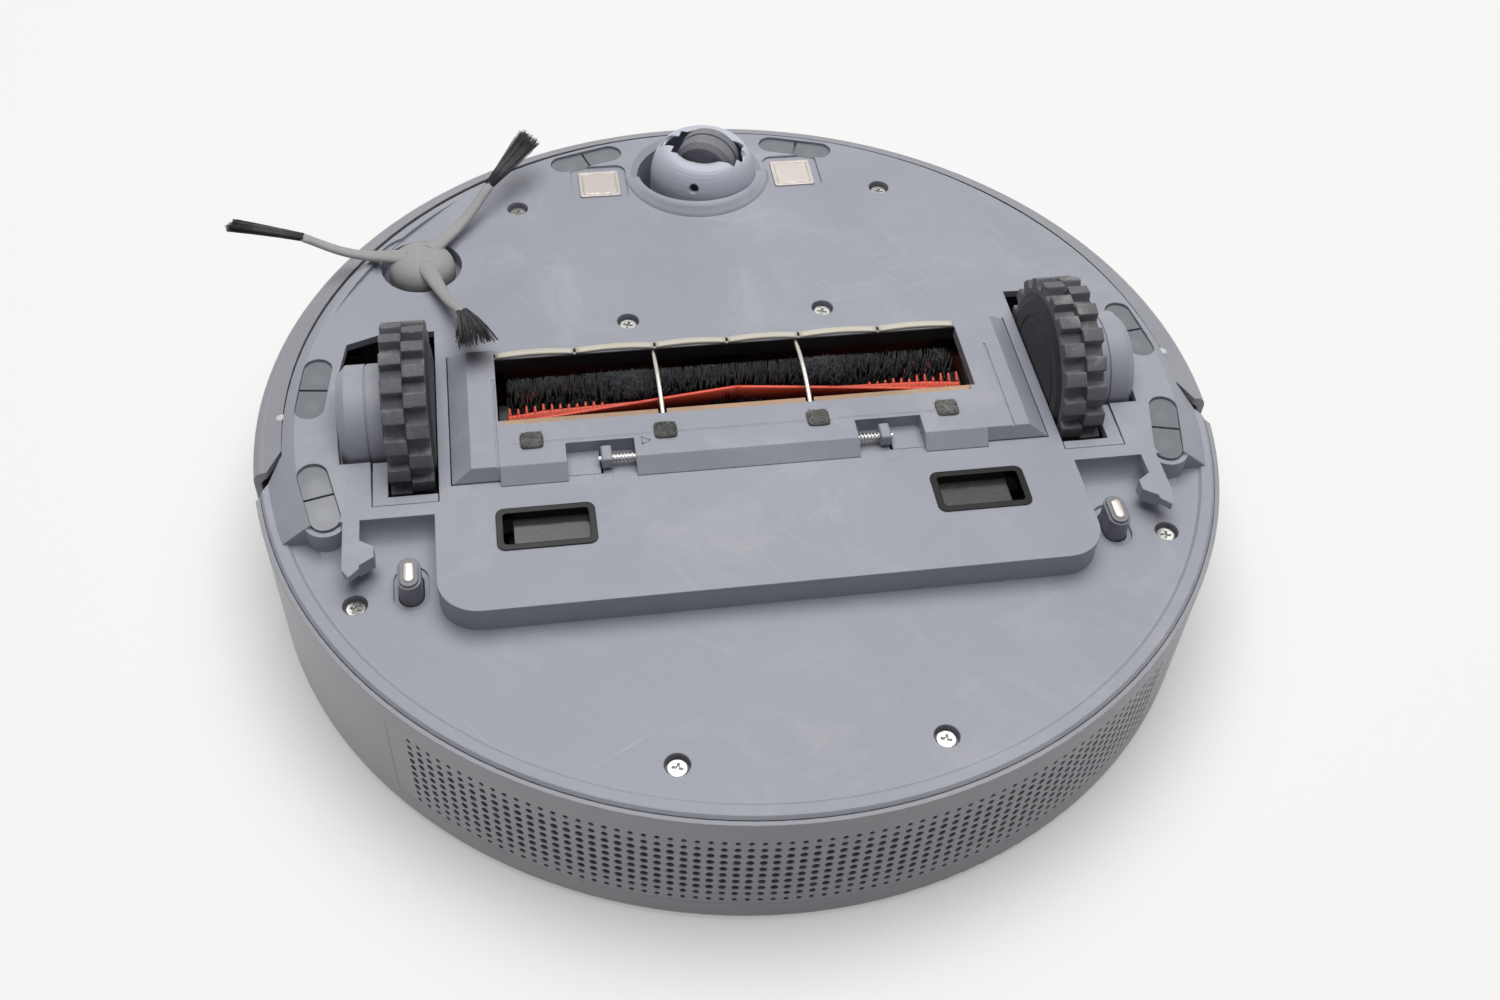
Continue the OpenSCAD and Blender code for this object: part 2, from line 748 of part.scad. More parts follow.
module bin_flap() {
  color([0.2, 0.2, 0.2]) {
    translate([0, (bin_y0 + bin_y1) / 2, bin_top]) round_block(bin_w - 6, bin_y1 - bin_y0 - 4, 1.8, 4);
    translate([0, bin_y1 - 14, bin_top + 1]) cube([30, 4, 2], center = true);
  }
}

module bin_filter() {
  color([0.9, 0.9, 0.88]) translate([0, bin_y1 - bin_wall - 4, fan_z]) difference() {
    cube([110, 8, 40], center = true);
    for (i = [-16:16]) translate([i * 3, -4, 0]) rotate([0, 0, 45])
      cube([1.7, 1.7, 34], center = true);
  }
}

module fan_housing() {
  color([0.15, 0.15, 0.16]) translate([0, bin_y1 + 0.3, fan_z]) rotate([-90, 0, 0]) {
    difference() {
      union() {
        cylinder(r = fan_r, h = 26, $fn = 96);
        translate([-fan_r - 12, -13, 2]) cube([30, 26, 22]);
      }
      translate([0, 0, 2]) cylinder(r = fan_r - 2, h = 22, $fn = 96);
      translate([0, 0, -1]) cylinder(r = 13, h = 5, $fn = 64);
      translate([0, 0, 20]) cylinder(r = 2 + run_gap, h = 10, $fn = 24);
      translate([-fan_r - 13, -11, 4]) cube([32, 22, 18]);
    }
    translate([0, 0, 26]) tube(14, 12, 16);
    translate([0, 0, 41]) cylinder(r = 14, h = 2, $fn = 64);
  }
}

module impeller() {
  color([0.7, 0.7, 0.7]) translate([0, bin_y1 + 0.3, fan_z]) rotate([-90, 0, 0]) {
    translate([0, 0, 16]) cylinder(r = fan_r - 4, h = 1.6, $fn = 96);
    translate([0, 0, 5]) cylinder(r = 6, h = 12, $fn = 48);
    translate([0, 0, 14]) cylinder(r = 2, h = 24, $fn = 24);
    for (i = [0:10]) rotate([0, 0, i * 360 / 11]) translate([5, 0, 5]) rotate([0, 0, 35])
      cube([15, 1.2, 11.5]);
  }
}

// ---- main brush ----

roller_z = plate_z + roller_h;
chamber_r = roller_r + 2.2;
end_l = 5.5;
chamber_l = roller_l + 2 * end_l + 0.8;
housing_x = chamber_l / 2 + wall;
journal_r = 3;

module on_roller() {
  translate([brush_x, -roller_y, roller_z]) along_x() children();
}

duct_y = bin_y0 - 0.3;
duct_w = 82;
module brush_housing() {
  color([0.2, 0.2, 0.21]) difference() {
    union() {
      on_roller() cylinder(r = chamber_r + wall, h = 2 * housing_x, center = true, $fn = 96);
      translate([-cover_bay_w / 2 - 1.6, -31.5, plate_in]) cube([cover_bay_w + 3.2, 52, wall]);
      translate([brush_x - housing_x, -roller_y - chamber_r - wall, plate_in])
        cube([2 * housing_x, 2 * (chamber_r + wall), roller_h - skin]);
      translate([-duct_w / 2, 4, 51]) cube([duct_w, duct_y - 4, 19]);
    }
    on_roller() cylinder(r = chamber_r, h = chamber_l, center = true, $fn = 96);
    translate([brush_x - chamber_l / 2, -roller_y - chamber_r, plate_z - 5])
      cube([chamber_l, 2 * chamber_r, roller_h + 5]);
    translate([-big / 2, -big / 2, plate_in - big]) cube(big);
    translate([-duct_w / 2 + 2, 0, 53]) cube([duct_w - 4, 60, 15]);
    on_roller() translate([0, 0, chamber_l / 2 - 5]) cylinder(r = journal_r + run_gap, h = 20, $fn = 32);
  }
}

// Blades and bristles lean back from the middle towards both ends
helix_turn = 28;
blade_count = 3;
blade_turn = -65;

module both_helices() {
  on_roller() for (s = [0, 1]) mirror([0, 0, s])
    linear_extrude(height = roller_l / 2 - 1, twist = -helix_turn, slices = 12, convexity = 4) children();
}

module roller_core() {
  color([0.12, 0.12, 0.13]) {
    on_roller() cylinder(r = core_r, h = roller_l, center = true, $fn = 64);
    on_roller() translate([0, 0, -roller_l / 2 - 4]) cylinder(r = journal_r, h = 10, $fn = 32);
    on_roller() translate([0, 0, roller_l / 2 - 4]) cylinder(r = journal_r, h = 18, $fn = 32);
  }
}

module roller_blades() {
  color([0.94, 0.36, 0.2]) both_helices() for (i = [0:blade_count - 1]) rotate(blade_turn + i * 360 / blade_count)
    polygon([[core_r + 0.9, -1.4], [core_r + 4, -0.9], [roller_r - 0.8, -0.6], [roller_r - 0.8, 0.6],
      [core_r + 4, 0.9], [core_r + 0.9, 1.4]]);
}

tuft_rows = 21;
tuft_r = 1;
module roller_bristles() {
  color([0.1, 0.1, 0.1]) {
    on_roller() translate([0, 0, 2 - roller_l / 2]) tube(core_r + 0.7, core_r, roller_l - 4, 64);
    on_roller() for (s = [-1, 1], i = [0:blade_count - 1], t = [0:tuft_rows - 1])
      translate([0, 0, s * (t + 0.5) * (roller_l / 2 - 3) / tuft_rows])
        rotate([0, 0, blade_turn + (i + 0.5) * 360 / blade_count + helix_turn * (t + 0.5) / tuft_rows])
          translate([core_r + 0.4, 0, 0]) rotate([0, 90, 0])
            cylinder(r = tuft_r, h = roller_r - core_r - 0.4, $fn = 12);
  }
}

module roller_ends() {
  color([0.9, 0.45, 0.25]) on_roller() for (s = [0, 1]) mirror([0, 0, s])
    translate([0, 0, roller_l / 2 + 0.4]) difference() {
      union() {
        cylinder(r = roller_h - 0.8, h = end_l - 0.2, $fn = 64);
        translate([-chamber_r + 1.2, -6, 0]) cube([2 * chamber_r - 2.4, 12, end_l - 0.2]);
      }
      translate([0, 0, -1]) cylinder(r = journal_r + run_gap, h = 20, $fn = 32);
    }
}

belt_y = 24;
belt_z = 74;
module brush_motor() {
  gear_x = brush_x + housing_x + 0.4;
  color([0.3, 0.3, 0.32]) {
    translate([gear_x, 0, 0]) difference() {
      union() {
        translate([0, -roller_y, roller_z]) along_x() cylinder(r = 9.2, h = 10, $fn = 64);
        translate([0, belt_y, belt_z]) along_x() cylinder(r = 13, h = 10, $fn = 64);
        translate([0, -roller_y, roller_z]) rotate([atan2(belt_z - roller_z, belt_y + roller_y), 0, 0])
          translate([0, 0, -9.2]) cube([10, 38.6, 18.4]);
      }
      translate([-1, -roller_y, roller_z]) along_x() cylinder(r = journal_r + 0.6, h = 9, $fn = 32);
    }
    translate([gear_x - 40, belt_y, belt_z]) along_x() cylinder(r = 11, h = 40.1, $fn = 64);
    translate([gear_x - 45, belt_y, belt_z]) along_x() cylinder(r = 4, h = 6, $fn = 32);
  }
}

// ---- brush cover ----

cover_z = plate_z - cover_proud;
mouth_y0 = -20.4;
mouth_y1 = 11.5;
bevel_y = 38.3;
notch_w = 23.8;
notch_y0 = 24.6;
pad_x = [-77.5, -30.9, 23.6, 70.7];
strip_y = -22.4;
strip_cuts = [-59.2, -29.8, -2.9, 24.1, 54.3];
wire_x = [-30.6, 22.7];
wire_r = 0.9;
wire_bow = 49.7;
rod_r = 1.3;
rod_y = 29.5;
rod_z = plate_z + 0.4;

module wire_arc(r) {
  half = 20.5;
  for (x = wire_x) translate([x, -roller_y, cover_z - 1.2 + wire_bow]) rotate([0, 90, 0])
    rotate([0, 0, -half]) rotate_extrude(angle = 2 * half, $fn = 240)
      translate([wire_bow, 0]) circle(r = r, $fn = 24);
}

module latch_rod_shape(r) {
  for (x = latch_x) translate([x, rod_y, rod_z]) along_x()
    cylinder(r = r, h = notch_w + 6, center = true, $fn = 24);
}

module cover_block() {
  half = cover_bay_w / 2 - fit_gap;
  front = cover_bay_y0 + fit_gap;
  back = cover_bay_y1 - fit_gap;
  intersection() {
    union() {
      along_x() linear_extrude(2 * half, center = true) polygon([[front, plate_in], [front, plate_z],
        [front + 3, cover_z], [33.3, cover_z], [back, plate_z - 0.3], [back, plate_in]]);
      translate([-3, 0, 0]) along_x() linear_extrude(172, center = true) polygon([[20, cover_z],
        [33.3, cover_z], [bevel_y, plate_z - 0.05], [20, plate_z - 0.05]]);
    }
    translate([0, 50, 0]) rotate([90, 0, 0]) linear_extrude(100) polygon([[-half, plate_in],
      [-half, plate_z], [-half + 7, cover_z], [half - 7, cover_z], [half, plate_z], [half, plate_in]]);
  }
}

module brush_cover() {
  color(plate_grey) difference() {
    cover_block();
    // mouth, with a sloped lead-in
    translate([brush_x - mouth_w / 2, mouth_y0, cover_z - 1])
      cube([mouth_w, mouth_y1 - mouth_y0, 20]);
    translate([brush_x, mouth_y1 - 0.1, cover_z - nudge]) rotate([45, 0, 0])
      cube([mouth_w - 4, 3, 3], center = true);
    // room for the roller's ends
    translate([brush_x - chamber_l / 2, -roller_y - chamber_r, plate_z - 0.4])
      cube([chamber_l, 2 * chamber_r, 10]);
    // slots for the strip and the lip
    translate([brush_x - mouth_w / 2, strip_y - 0.9, cover_z - 1]) cube([mouth_w, 1.8, 3.6]);
    translate([brush_x - mouth_w / 2, mouth_y1 - 3.4, cover_z + 1]) cube([mouth_w, 5.4, 2.2]);
    // notches of the two latches
    for (x = latch_x) translate([x - notch_w / 2, notch_y0, cover_z - 1]) cube([notch_w, 20, 20]);
    // grooves that part the end blocks from the middle
    for (x = [-89.6, 92.8]) translate([x, 20, cover_z - 0.6]) cube([0.8, 60, 2], center = true);
    translate([-9, notch_y0 - 1.6, cover_z - 0.5]) cube([150, 0.7, 1.6], center = true);
    wire_arc(wire_r);
    latch_rod_shape(rod_r);
  }
}

module guard_wires() {
  color([0.6, 0.6, 0.6]) wire_arc(wire_r);
}

module latch_rods() {
  color([0.75, 0.75, 0.76]) latch_rod_shape(rod_r);
}

module front_strip() {
  color([0.75, 0.72, 0.66]) difference() {
    translate([brush_x - mouth_w / 2, strip_y - 0.9, cover_z - 0.9]) cube([mouth_w, 1.8, 3.5]);
    for (x = strip_cuts) translate([x, strip_y, cover_z - 0.6]) cube([0.8, 4, 3], center = true);
    for (x = wire_x) translate([x, strip_y, cover_z]) cube([3, 4, 10], center = true);
  }
}

module rear_scraper() {
  color([0.6, 0.35, 0.15]) difference() {
    union() {
      translate([brush_x - mouth_w / 2, mouth_y1 - 3.4, cover_z + 1]) cube([mouth_w, 5.4, 2.2]);
      translate([brush_x - mouth_w / 2 + 0.2, mouth_y1 - 3.4, cover_z + 1]) rotate([30, 0, 0])
        translate([0, 0, -1.2]) cube([mouth_w - 0.4, 1.2, 3]);
    }
    for (x = wire_x) translate([x, mouth_y1, cover_z]) cube([3, 9, 10], center = true);
    translate([0, mouth_y1 + 5, cover_z - 5]) cube([big, 6, 10], center = true);
  }
}

module felt_pads() {
  color([0.66, 0.62, 0.55]) for (x = pad_x) translate([x, 18.2, cover_z - 0.5])
    cube([8, 8, 1], center = true);
}

module latch(x) {
  color(plate_grey) translate([x, 0, 0]) difference() {
    union() {
      translate([-5.5, notch_y0 + 0.6, cover_z + 2.6]) cube([11, 9.6, plate_in - cover_z - 3]);
      translate([-1.3, notch_y0 + 0.6, cover_z + 0.4]) cube([2.6, 10.6, 4]);
      translate([-latch_hook_w / 2, notch_y0 + 9, cover_z + 2.6]) cube([latch_hook_w, 1.6, 8]);
      translate([-latch_hook_w / 2, notch_y0 + 9, plate_in + 0.6])
        cube([latch_hook_w, cover_bay_y1 + latch_hook_l - notch_y0 - 9, 2]);
    }
    translate([0, rod_y, rod_z]) along_x() cylinder(r = rod_r + run_gap, h = 40, center = true, $fn = 24);
  }
}

// ---- drive wheels, drawn on the +X side ----

axle_z = wheel_r;
pivot_z = axle_z + pivot_h;
gear_x0 = tyre_x + tyre_w + 1.1;
gear_x1 = gear_x0 + gearbox_w;
ear_x0 = gear_x0 + 3.5;
frame_x0 = 107.6;
frame_x1 = 148;
frame_t = 1.8;
frame_y0 = -46.6;
frame_y1 = 45.2;
frame_top = 94;
rise = 36;

module at_axle(x) { translate([x, 0, axle_z]) along_x() children(); }
module at_pivot(x) { translate([x, pivot_y, pivot_z]) along_x() children(); }

module wheel_frame() {
  color([0.16, 0.16, 0.17]) difference() {
    union() {
      difference() {
        translate([frame_x0, frame_y0, plate_in])
          cube([frame_x1 - frame_x0, frame_y1 - frame_y0, frame_top - plate_in]);
        translate([frame_x0 + frame_t, frame_y0 + frame_t, plate_in - 1])
          cube([frame_x1 - frame_x0 - 2 * frame_t, frame_y1 - frame_y0 - 2 * frame_t,
            frame_top - plate_in - frame_t + 1]);
      }
      // flush plate behind the wheel, with the inner cheek of the pivot
      translate([110.4, 22, plate_z + 0.1]) cube([21.8, 20.2, skin + 0.3]);
      translate([gear_x0 + 0.1, 22, plate_in]) cube([2.8, 22, pivot_z + 6 - plate_in]);
      at_pivot(gear_x1 + 0.4) cylinder(r = 5.5, h = frame_x1 - gear_x1 - 0.5, $fn = 40);
    }
    translate([109, 0, plate_z - 1]) cube([127.1 - 109, 38.6, 20]);
    at_pivot(gear_x0 - 1) cylinder(r = pivot_r, h = 30, $fn = 40);
    // room for the floor sensors beside the frame
    translate([138, frame_y0 - 1, 0]) cube([20, frame_y1 - frame_y0 + 2, plate_z + 11.2]);
    // the drive motor swings through the outer wall
    translate([frame_x1 - 10, -5, plate_in - 1]) cube([20, 27, 42]);
  }
}

module pivot_pin() {
  color([0.75, 0.75, 0.76]) at_pivot(gear_x0 + 0.1) cylinder(r = pivot_r, h = frame_x1 + 1 - gear_x0, $fn = 40);
  color([0.75, 0.75, 0.76]) at_pivot(frame_x1 + 0.1) cylinder(r = 4, h = 1.6, $fn = 40);
}

// Torsion spring round the pin: one leg on the frame, one on the gearbox
module arm_spring() {
  wire = 1.2;
  color([0.6, 0.6, 0.62]) {
    at_pivot(ear_x0 + 7.6) coil(4.4, wire, 1.5, 3);
    translate([ear_x0 + 7.6, pivot_y + 3.8, pivot_z]) cube([wire, wire, 24]);
    translate([ear_x0 + 10.7, pivot_y - 12, pivot_z + 3.8]) cube([wire, 13, wire]);
  }
}

module gearbox() {
  bar = 15;
  reach = sqrt(pivot_y * pivot_y + pivot_h * pivot_h);
  color(plate_grey) difference() {
    union() {
      at_axle(gear_x0) cylinder(r = gearbox_r, h = gearbox_w - 3, $fn = 96);
      at_axle(gear_x1 - 3) cylinder(r1 = gearbox_r, r2 = gearbox_r - 3, h = 3, $fn = 96);
      translate([ear_x0, 0, axle_z]) rotate([atan2(pivot_h, pivot_y), 0, 0])
        translate([0, 0, -bar / 2]) cube([gear_x1 - ear_x0, reach - 8, bar]);
      at_pivot(ear_x0) cylinder(r = 6.5, h = 6.5, $fn = 48);
      translate([ear_x0, 0, axle_z]) rotate([atan2(pivot_h, pivot_y), 0, 0])
        translate([0, 0, -6]) cube([6.5, reach, 12]);
    }
    at_pivot(ear_x0 - 1) cylinder(r = pivot_r + run_gap, h = 20, $fn = 40);
    at_axle(gear_x0 - 1) cylinder(r = shaft_r + run_gap, h = 9, $fn = 40);
    // seam round the cap and its three screw dimples
    at_axle(gear_x0 + 5) tube(gearbox_r + 1, gearbox_r - 0.5, 0.7, 96);
    for (a = [100, 190, 280]) at_axle(gear_x1) rotate([0, 0, a]) translate([13, 0, -1.5])
      cylinder(r = 1.8, h = 4, $fn = 24);
  }
}

module drive_motor() {
  color([0.55, 0.55, 0.57]) translate([gear_x1, 8, 50]) along_x() {
    cylinder(r = motor_r, h = motor_l - 2, $fn = 64);
    translate([0, 0, motor_l - 2]) cylinder(r = motor_r - 2, h = 2, $fn = 64);
  }
}

module drive_shaft() {
  color([0.75, 0.75, 0.76]) at_axle(tyre_x + 1.6) cylinder(r = shaft_r, h = gear_x0 + 6 - tyre_x - 1.6, $fn = 40);
}

hub_x = tyre_x - 1;
module hub() {
  color([0.15, 0.15, 0.16]) difference() {
    union() {
      at_axle(hub_x) cylinder(r1 = hub_r - 3, r2 = hub_r - 0.6, h = 1, $fn = 96);
      at_axle(tyre_x) cylinder(r = hub_r, h = tyre_w, $fn = 96);
    }
    at_axle(tyre_x + 3.5) tube(hub_r - 3, 8, tyre_w, 96);
    at_axle(tyre_x + 1.6) cylinder(r = shaft_r, h = 30, $fn = 40);
    at_axle(hub_x - 0.2) tube(hub_r - 8, hub_r - 9, 0.5, 96);
  }
  color([0.15, 0.15, 0.16]) for (i = [0:4]) at_axle(tyre_x + 3) rotate([0, 0, i * 72])
    translate([7.5, -1.2, 0]) cube([hub_r - 10, 2.4, tyre_w - 4]);
}

tyre_base_r = wheel_r - lug_h;
module lug_row(turn) {
  pitch = 360 / lug_count;
  lug_l = 2 * PI * wheel_r / lug_count * 0.46;
  linear_extrude(tyre_w / 2 - 0.15) intersection() {
    circle(r = wheel_r, $fn = 180);
    for (i = [0:lug_count - 1]) rotate(i * pitch + turn)
      polygon([[tyre_base_r - 0.8, -lug_l * 0.62], [wheel_r + 1, -lug_l * 0.46],
        [wheel_r + 1, lug_l * 0.46], [tyre_base_r - 0.8, lug_l * 0.62]]);
  }
}

module tyre() {
  color(rubber_grey) {
    at_axle(tyre_x) tube(tyre_base_r, hub_r, tyre_w, 128);
    at_axle(tyre_x) lug_row(0);
    at_axle(tyre_x + tyre_w / 2 + 0.15) lug_row(180 / lug_count);
  }
}

// ---- caster ----

caster_axle_r = 2;
dome_r = 21.8;
dome_shift = 2.6;
dome_rim_r = 13.8;
dome_rim_z = 19.3;
dome_z = plate_z + 1;
dome_top = 44;
caster_wheel_z = caster_low + caster_wheel_r;

module at_caster() {
  translate([caster_x, -caster_y, 0]) rotate([0, 0, caster_turn]) children();
}

module dome_profile(inset) {
  steps = 10;
  curve = [for (i = [0:steps]) [
    dome_rim_r + (dome_r - dome_rim_r) * sin(90 * i / steps) - inset,
    dome_rim_z + (dome_z - dome_rim_z) * (1 - cos(90 * i / steps))]];
  polygon(concat([[0, dome_rim_z - (inset > 0 ? 1 : 0)]],
    inset > 0 ? [[dome_rim_r - inset, dome_rim_z - 1]] : [], curve,
    [[dome_r - inset, dome_top - (inset > 0 ? 3 : 0)], [0, dome_top - (inset > 0 ? 3 : 0)]]));
}

module caster_housing() {
  color([0.62, 0.65, 0.7]) at_caster() difference() {
    union() {
      translate([dome_shift, 0, 0]) difference() {
        rotate_extrude($fn = 96) dome_profile(0);
        rotate_extrude($fn = 96) dome_profile(2.2);
      }
      intersection() {
        for (s = [-1, 1]) translate([caster_trail, s * (caster_wheel_w / 2 + 3.2), 33])
          cube([13, 5, 22], center = true);
        translate([dome_shift, 0, 0]) rotate_extrude($fn = 96) dome_profile(0);
      }
      translate([0, 0, dome_top - 1]) cylinder(r = 7, h = socket_top - skin - 0.3 - dome_top + 1, $fn = 48);
    }
    // opening of the wheel, notched at both ends
    translate([caster_trail, 0, 20]) cube([2 * caster_wheel_r + 2, caster_wheel_w + 1.4, 16], center = true);
    for (s = [-1, 1]) translate([dome_shift + s * dome_rim_r, 0, dome_rim_z]) rotate([0, 90, 0])
      cylinder(r = 3.6, h = 8, center = true, $fn = 40);
    translate([caster_trail, 0, caster_wheel_z]) rotate([90, 0, 0]) cylinder(r = caster_axle_r,
      h = 2 * dome_r, center = true, $fn = 32);
    translate([0, 0, dome_top - 4]) cylinder(r = stem_r, h = 40, $fn = 40);
  }
}

module caster_stem() {
  top = socket_top + stem_boss_h;
  color([0.75, 0.75, 0.76]) at_caster() {
    translate([0, 0, dome_top - 3]) cylinder(r = stem_r, h = top - dome_top + 4, $fn = 40);
    translate([0, 0, top + 0.3]) cylinder(r = stem_r + 1.2, h = 1.2, $fn = 40);
  }
}

module caster_axle() {
  color([0.75, 0.75, 0.76]) at_caster() translate([caster_trail, 0, caster_wheel_z]) rotate([90, 0, 0])
    cylinder(r = caster_axle_r, h = caster_wheel_w + 8, center = true, $fn = 32);
}

module caster_wheel() {
  color([0.4, 0.4, 0.43]) at_caster() translate([caster_trail, 0, caster_wheel_z]) rotate([90, 0, 0])
    difference() {
      union() {
        cylinder(r = caster_wheel_r, h = caster_wheel_w - 4, center = true, $fn = 96);
        for (s = [0, 1]) mirror([0, 0, s]) translate([0, 0, caster_wheel_w / 2 - 2])
          cylinder(r1 = caster_wheel_r, r2 = caster_wheel_r - 2, h = 2, $fn = 96);
      }
      cylinder(r = caster_axle_r + run_gap, h = 40, center = true, $fn = 32);
      tube(caster_wheel_r + 2, caster_wheel_r - 0.5, 1.2, 96);
    }
}

// ---- side brush ----

arm_angles = [-170, -50, 70];
hub_z = plate_z - 5;
arm_w = 7;
arm_t = 2.6;
strands = 9;
strand_r = 0.55;
// Middle line of an arm: how far out, and how far below the plate
arm_line = [[8, 1.8], [20, 1.9], [28, 3.2], [36, 6.2], [arm_reach, arm_drop]];

module at_side_brush() { translate([-side_x, -side_y, 0]) children(); }

// One arm along +X, bent down towards the floor
module side_arm() {
  last = len(arm_line) - 1;
  upper = [for (i = [0:last]) [arm_line[i][0], plate_z - arm_line[i][1] + arm_t / 2]];
  lower = [for (i = [last:-1:0]) [arm_line[i][0] - i * 0.3, plate_z - arm_line[i][1] - arm_t / 2]];
  rotate([90, 0, 0]) linear_extrude(arm_w, center = true) polygon(concat(upper, lower));
}

module side_brush_hub() {
  color([0.72, 0.70, 0.68]) at_side_brush() difference() {
    union() {
      translate([0, 0, hub_z + 1.5]) cylinder(r = side_hub_r, h = 10, $fn = 96);
      translate([0, 0, hub_z]) cylinder(r1 = side_hub_r - 1.5, r2 = side_hub_r, h = 1.5, $fn = 96);
      for (a = arm_angles) rotate([0, 0, a]) side_arm();
      translate([0, 0, hub_z + 11]) cylinder(r = 3, h = 12, $fn = 32);
    }
    translate([0, 0, hub_z - 0.2]) tube(side_hub_r - 4, side_hub_r - 5, 0.7, 64);
  }
}

module side_bristles() {
  fall = plate_z - arm_drop - tip_z;
  l = tip_reach - arm_reach;
  color([0.25, 0.25, 0.26]) at_side_brush() for (a = arm_angles) rotate([0, 0, a])
    for (i = [0:strands - 1]) translate([arm_reach + 0.1, (i - (strands - 1) / 2) * 0.72, plate_z - arm_drop])
      rotate([0, 0, (i - (strands - 1) / 2) * 2.4]) rotate([0, 90 + atan2(fall, l) + i % 3 - 1, 0])
        cylinder(r1 = strand_r, r2 = strand_r * 0.6, h = l - i % 2 * 2, $fn = 10);
}

module side_brush_motor() {
  base = plate_in + side_well_h;
  color([0.3, 0.3, 0.32]) at_side_brush() difference() {
    union() {
      translate([0, 0, base]) cylinder(r = 14, h = 12, $fn = 64);
      translate([0, 0, base + 11]) cylinder(r = 9, h = 22, $fn = 64);
      translate([0, 0, base]) linear_extrude(3) round_square(40, 14, 5);
    }
    translate([0, 0, base - 1]) cylinder(r = 3 + run_gap, h = 14, $fn = 32);
  }
}

// ---- bumper ----

bumper_top = drum_top - 0.9;
flange_shift = 3.7;

module bumper_profile() {
  corner = 4;
  corner_z = 43.5;
  polygon(concat([[front_r - 4, 36.6]],
    [for (a = [0:10:90]) [body_r - corner + corner * sin(a), corner_z - corner * cos(a)]],
    [[body_r, bumper_top - 2.4], [body_r - 0.7, bumper_top - 0.7], [body_r - 2.4, bumper_top],
      [body_r - 7, bumper_top], [body_r - 7, bumper_top - wall], [body_r - wall, bumper_top - wall],
      [body_r - wall, corner_z + 1], [body_r - wall - 1.6, corner_z - 1], [front_r - 4, 39.4]]));
}

module bumper() {
  color(shell_grey) difference() {
    union() {
      rotate_extrude($fn = 360) bumper_profile();
      for (s = [-1, 1]) {
        translate([s * tab_x, -tab_y - 1, tab_z]) cube([tab_w, 18.4, tab_t], center = true);
        translate([s * tab_x, 7 - tab_y, tab_z + 1]) cube([tab_w, 2.4, 6], center = true);
      }
    }
    linear_extrude(big) behind_notch(0);
    translate([-big, front_r * 0.1, 0]) cube([2 * big, big, big]);
    translate([0, -flange_shift, 0]) cylinder(r = front_r + fit_gap, h = 60, $fn = 240);
    translate([0, 0, bumper_window_z]) rotate([0, 0, -90 - bumper_window_a])
      rotate_extrude(angle = 2 * bumper_window_a, $fn = 240)
        translate([body_r - wall / 2, 0]) square([10, bumper_window_h]);
    translate([0, 0, bumper_window_z + 2]) rotate([0, 0, -88 - bumper_window_a])
      rotate_extrude(angle = 2 * bumper_window_a - 4, $fn = 240)
        translate([body_r - 8, 0]) square([10, bumper_window_h - 4]);
  }
}

bumper_window_z = 62;
bumper_window_h = 24;
module bumper_window() {
  color([0.06, 0.04, 0.05]) translate([0, 0, bumper_window_z + 0.1]) rotate([0, 0, -89.95 - bumper_window_a])
    rotate_extrude(angle = 2 * bumper_window_a - 0.1, $fn = 240)
      translate([body_r - wall / 2 + 0.03, 0]) square([wall / 2 - 0.1, bumper_window_h - 0.2]);
}

spring_x = 84;
// the springs stand this far off the drum wall
spring_gap = 2.296;
spring_y = sqrt(front_r * front_r - spring_x * spring_x) + spring_gap;
module bumper_springs() {
  color([0.7, 0.7, 0.72]) for (s = [-1, 1]) translate([s * spring_x, -spring_y, tab_z])
    rotate([90, 0, 0]) coil(3, 0.8, 1.28, 4);
}

// ---- tank contacts ----

module tank_contact(side) {
  color([0.8, 0.78, 0.72]) translate([side * tank_x, tank_y, 0]) rotate([0, 0, 90]) {
    translate([0, 0, 35.5]) pill(tank_l, tank_w, 19);
    translate([0, 0, 34.5]) pill(tank_l - 1.6, tank_w - 1.6, 2);
    translate([0, 0, rear_z + skin + 7.3]) pill(tank_l + 3, tank_w + 3, 1.8);
  }
}

chassis();
rear_shell();
top_cover();
case_screws();
window_seals();
charge_contacts();
cliff_lenses();
main_board();
battery();
fan_housing();
impeller();
dust_bin();
bin_flap();
bin_filter();
brush_housing();
brush_motor();
side_brush_motor();
camera_window();
mirror([1, 0, 0]) wheel_frame();  // left_wheel_frame
wheel_frame();  // right_wheel_frame
mirror([1, 0, 0]) pivot_pin();  // left_pivot_pin
pivot_pin();  // right_pivot_pin
mirror([1, 0, 0]) arm_spring();  // left_arm_spring
arm_spring();  // right_arm_spring
mirror([1, 0, 0]) gearbox();  // left_gearbox
gearbox();  // right_gearbox
mirror([1, 0, 0]) drive_motor();  // left_drive_motor
drive_motor();  // right_drive_motor
mirror([1, 0, 0]) drive_shaft();  // left_drive_shaft
drive_shaft();  // right_drive_shaft
mirror([1, 0, 0]) hub();  // left_hub
hub();  // right_hub
mirror([1, 0, 0]) tyre();  // left_tyre
tyre();  // right_tyre
caster_housing();
caster_stem();
caster_axle();
caster_wheel();
roller_core();
roller_blades();
roller_bristles();
roller_ends();
brush_cover();
latch_rods();
guard_wires();
front_strip();
rear_scraper();
felt_pads();
latch(latch_x[0]);  // left_latch
latch(latch_x[1]);  // right_latch
side_brush_hub();
side_bristles();
bumper();
bumper_window();
bumper_springs();
lid();
color([0.85, 0.85, 0.86]) push_button(1);  // power_button
color([0.85, 0.85, 0.86]) push_button(-1);  // home_button
tank_contact(-1);  // left_tank_contact
tank_contact(1);  // right_tank_contact
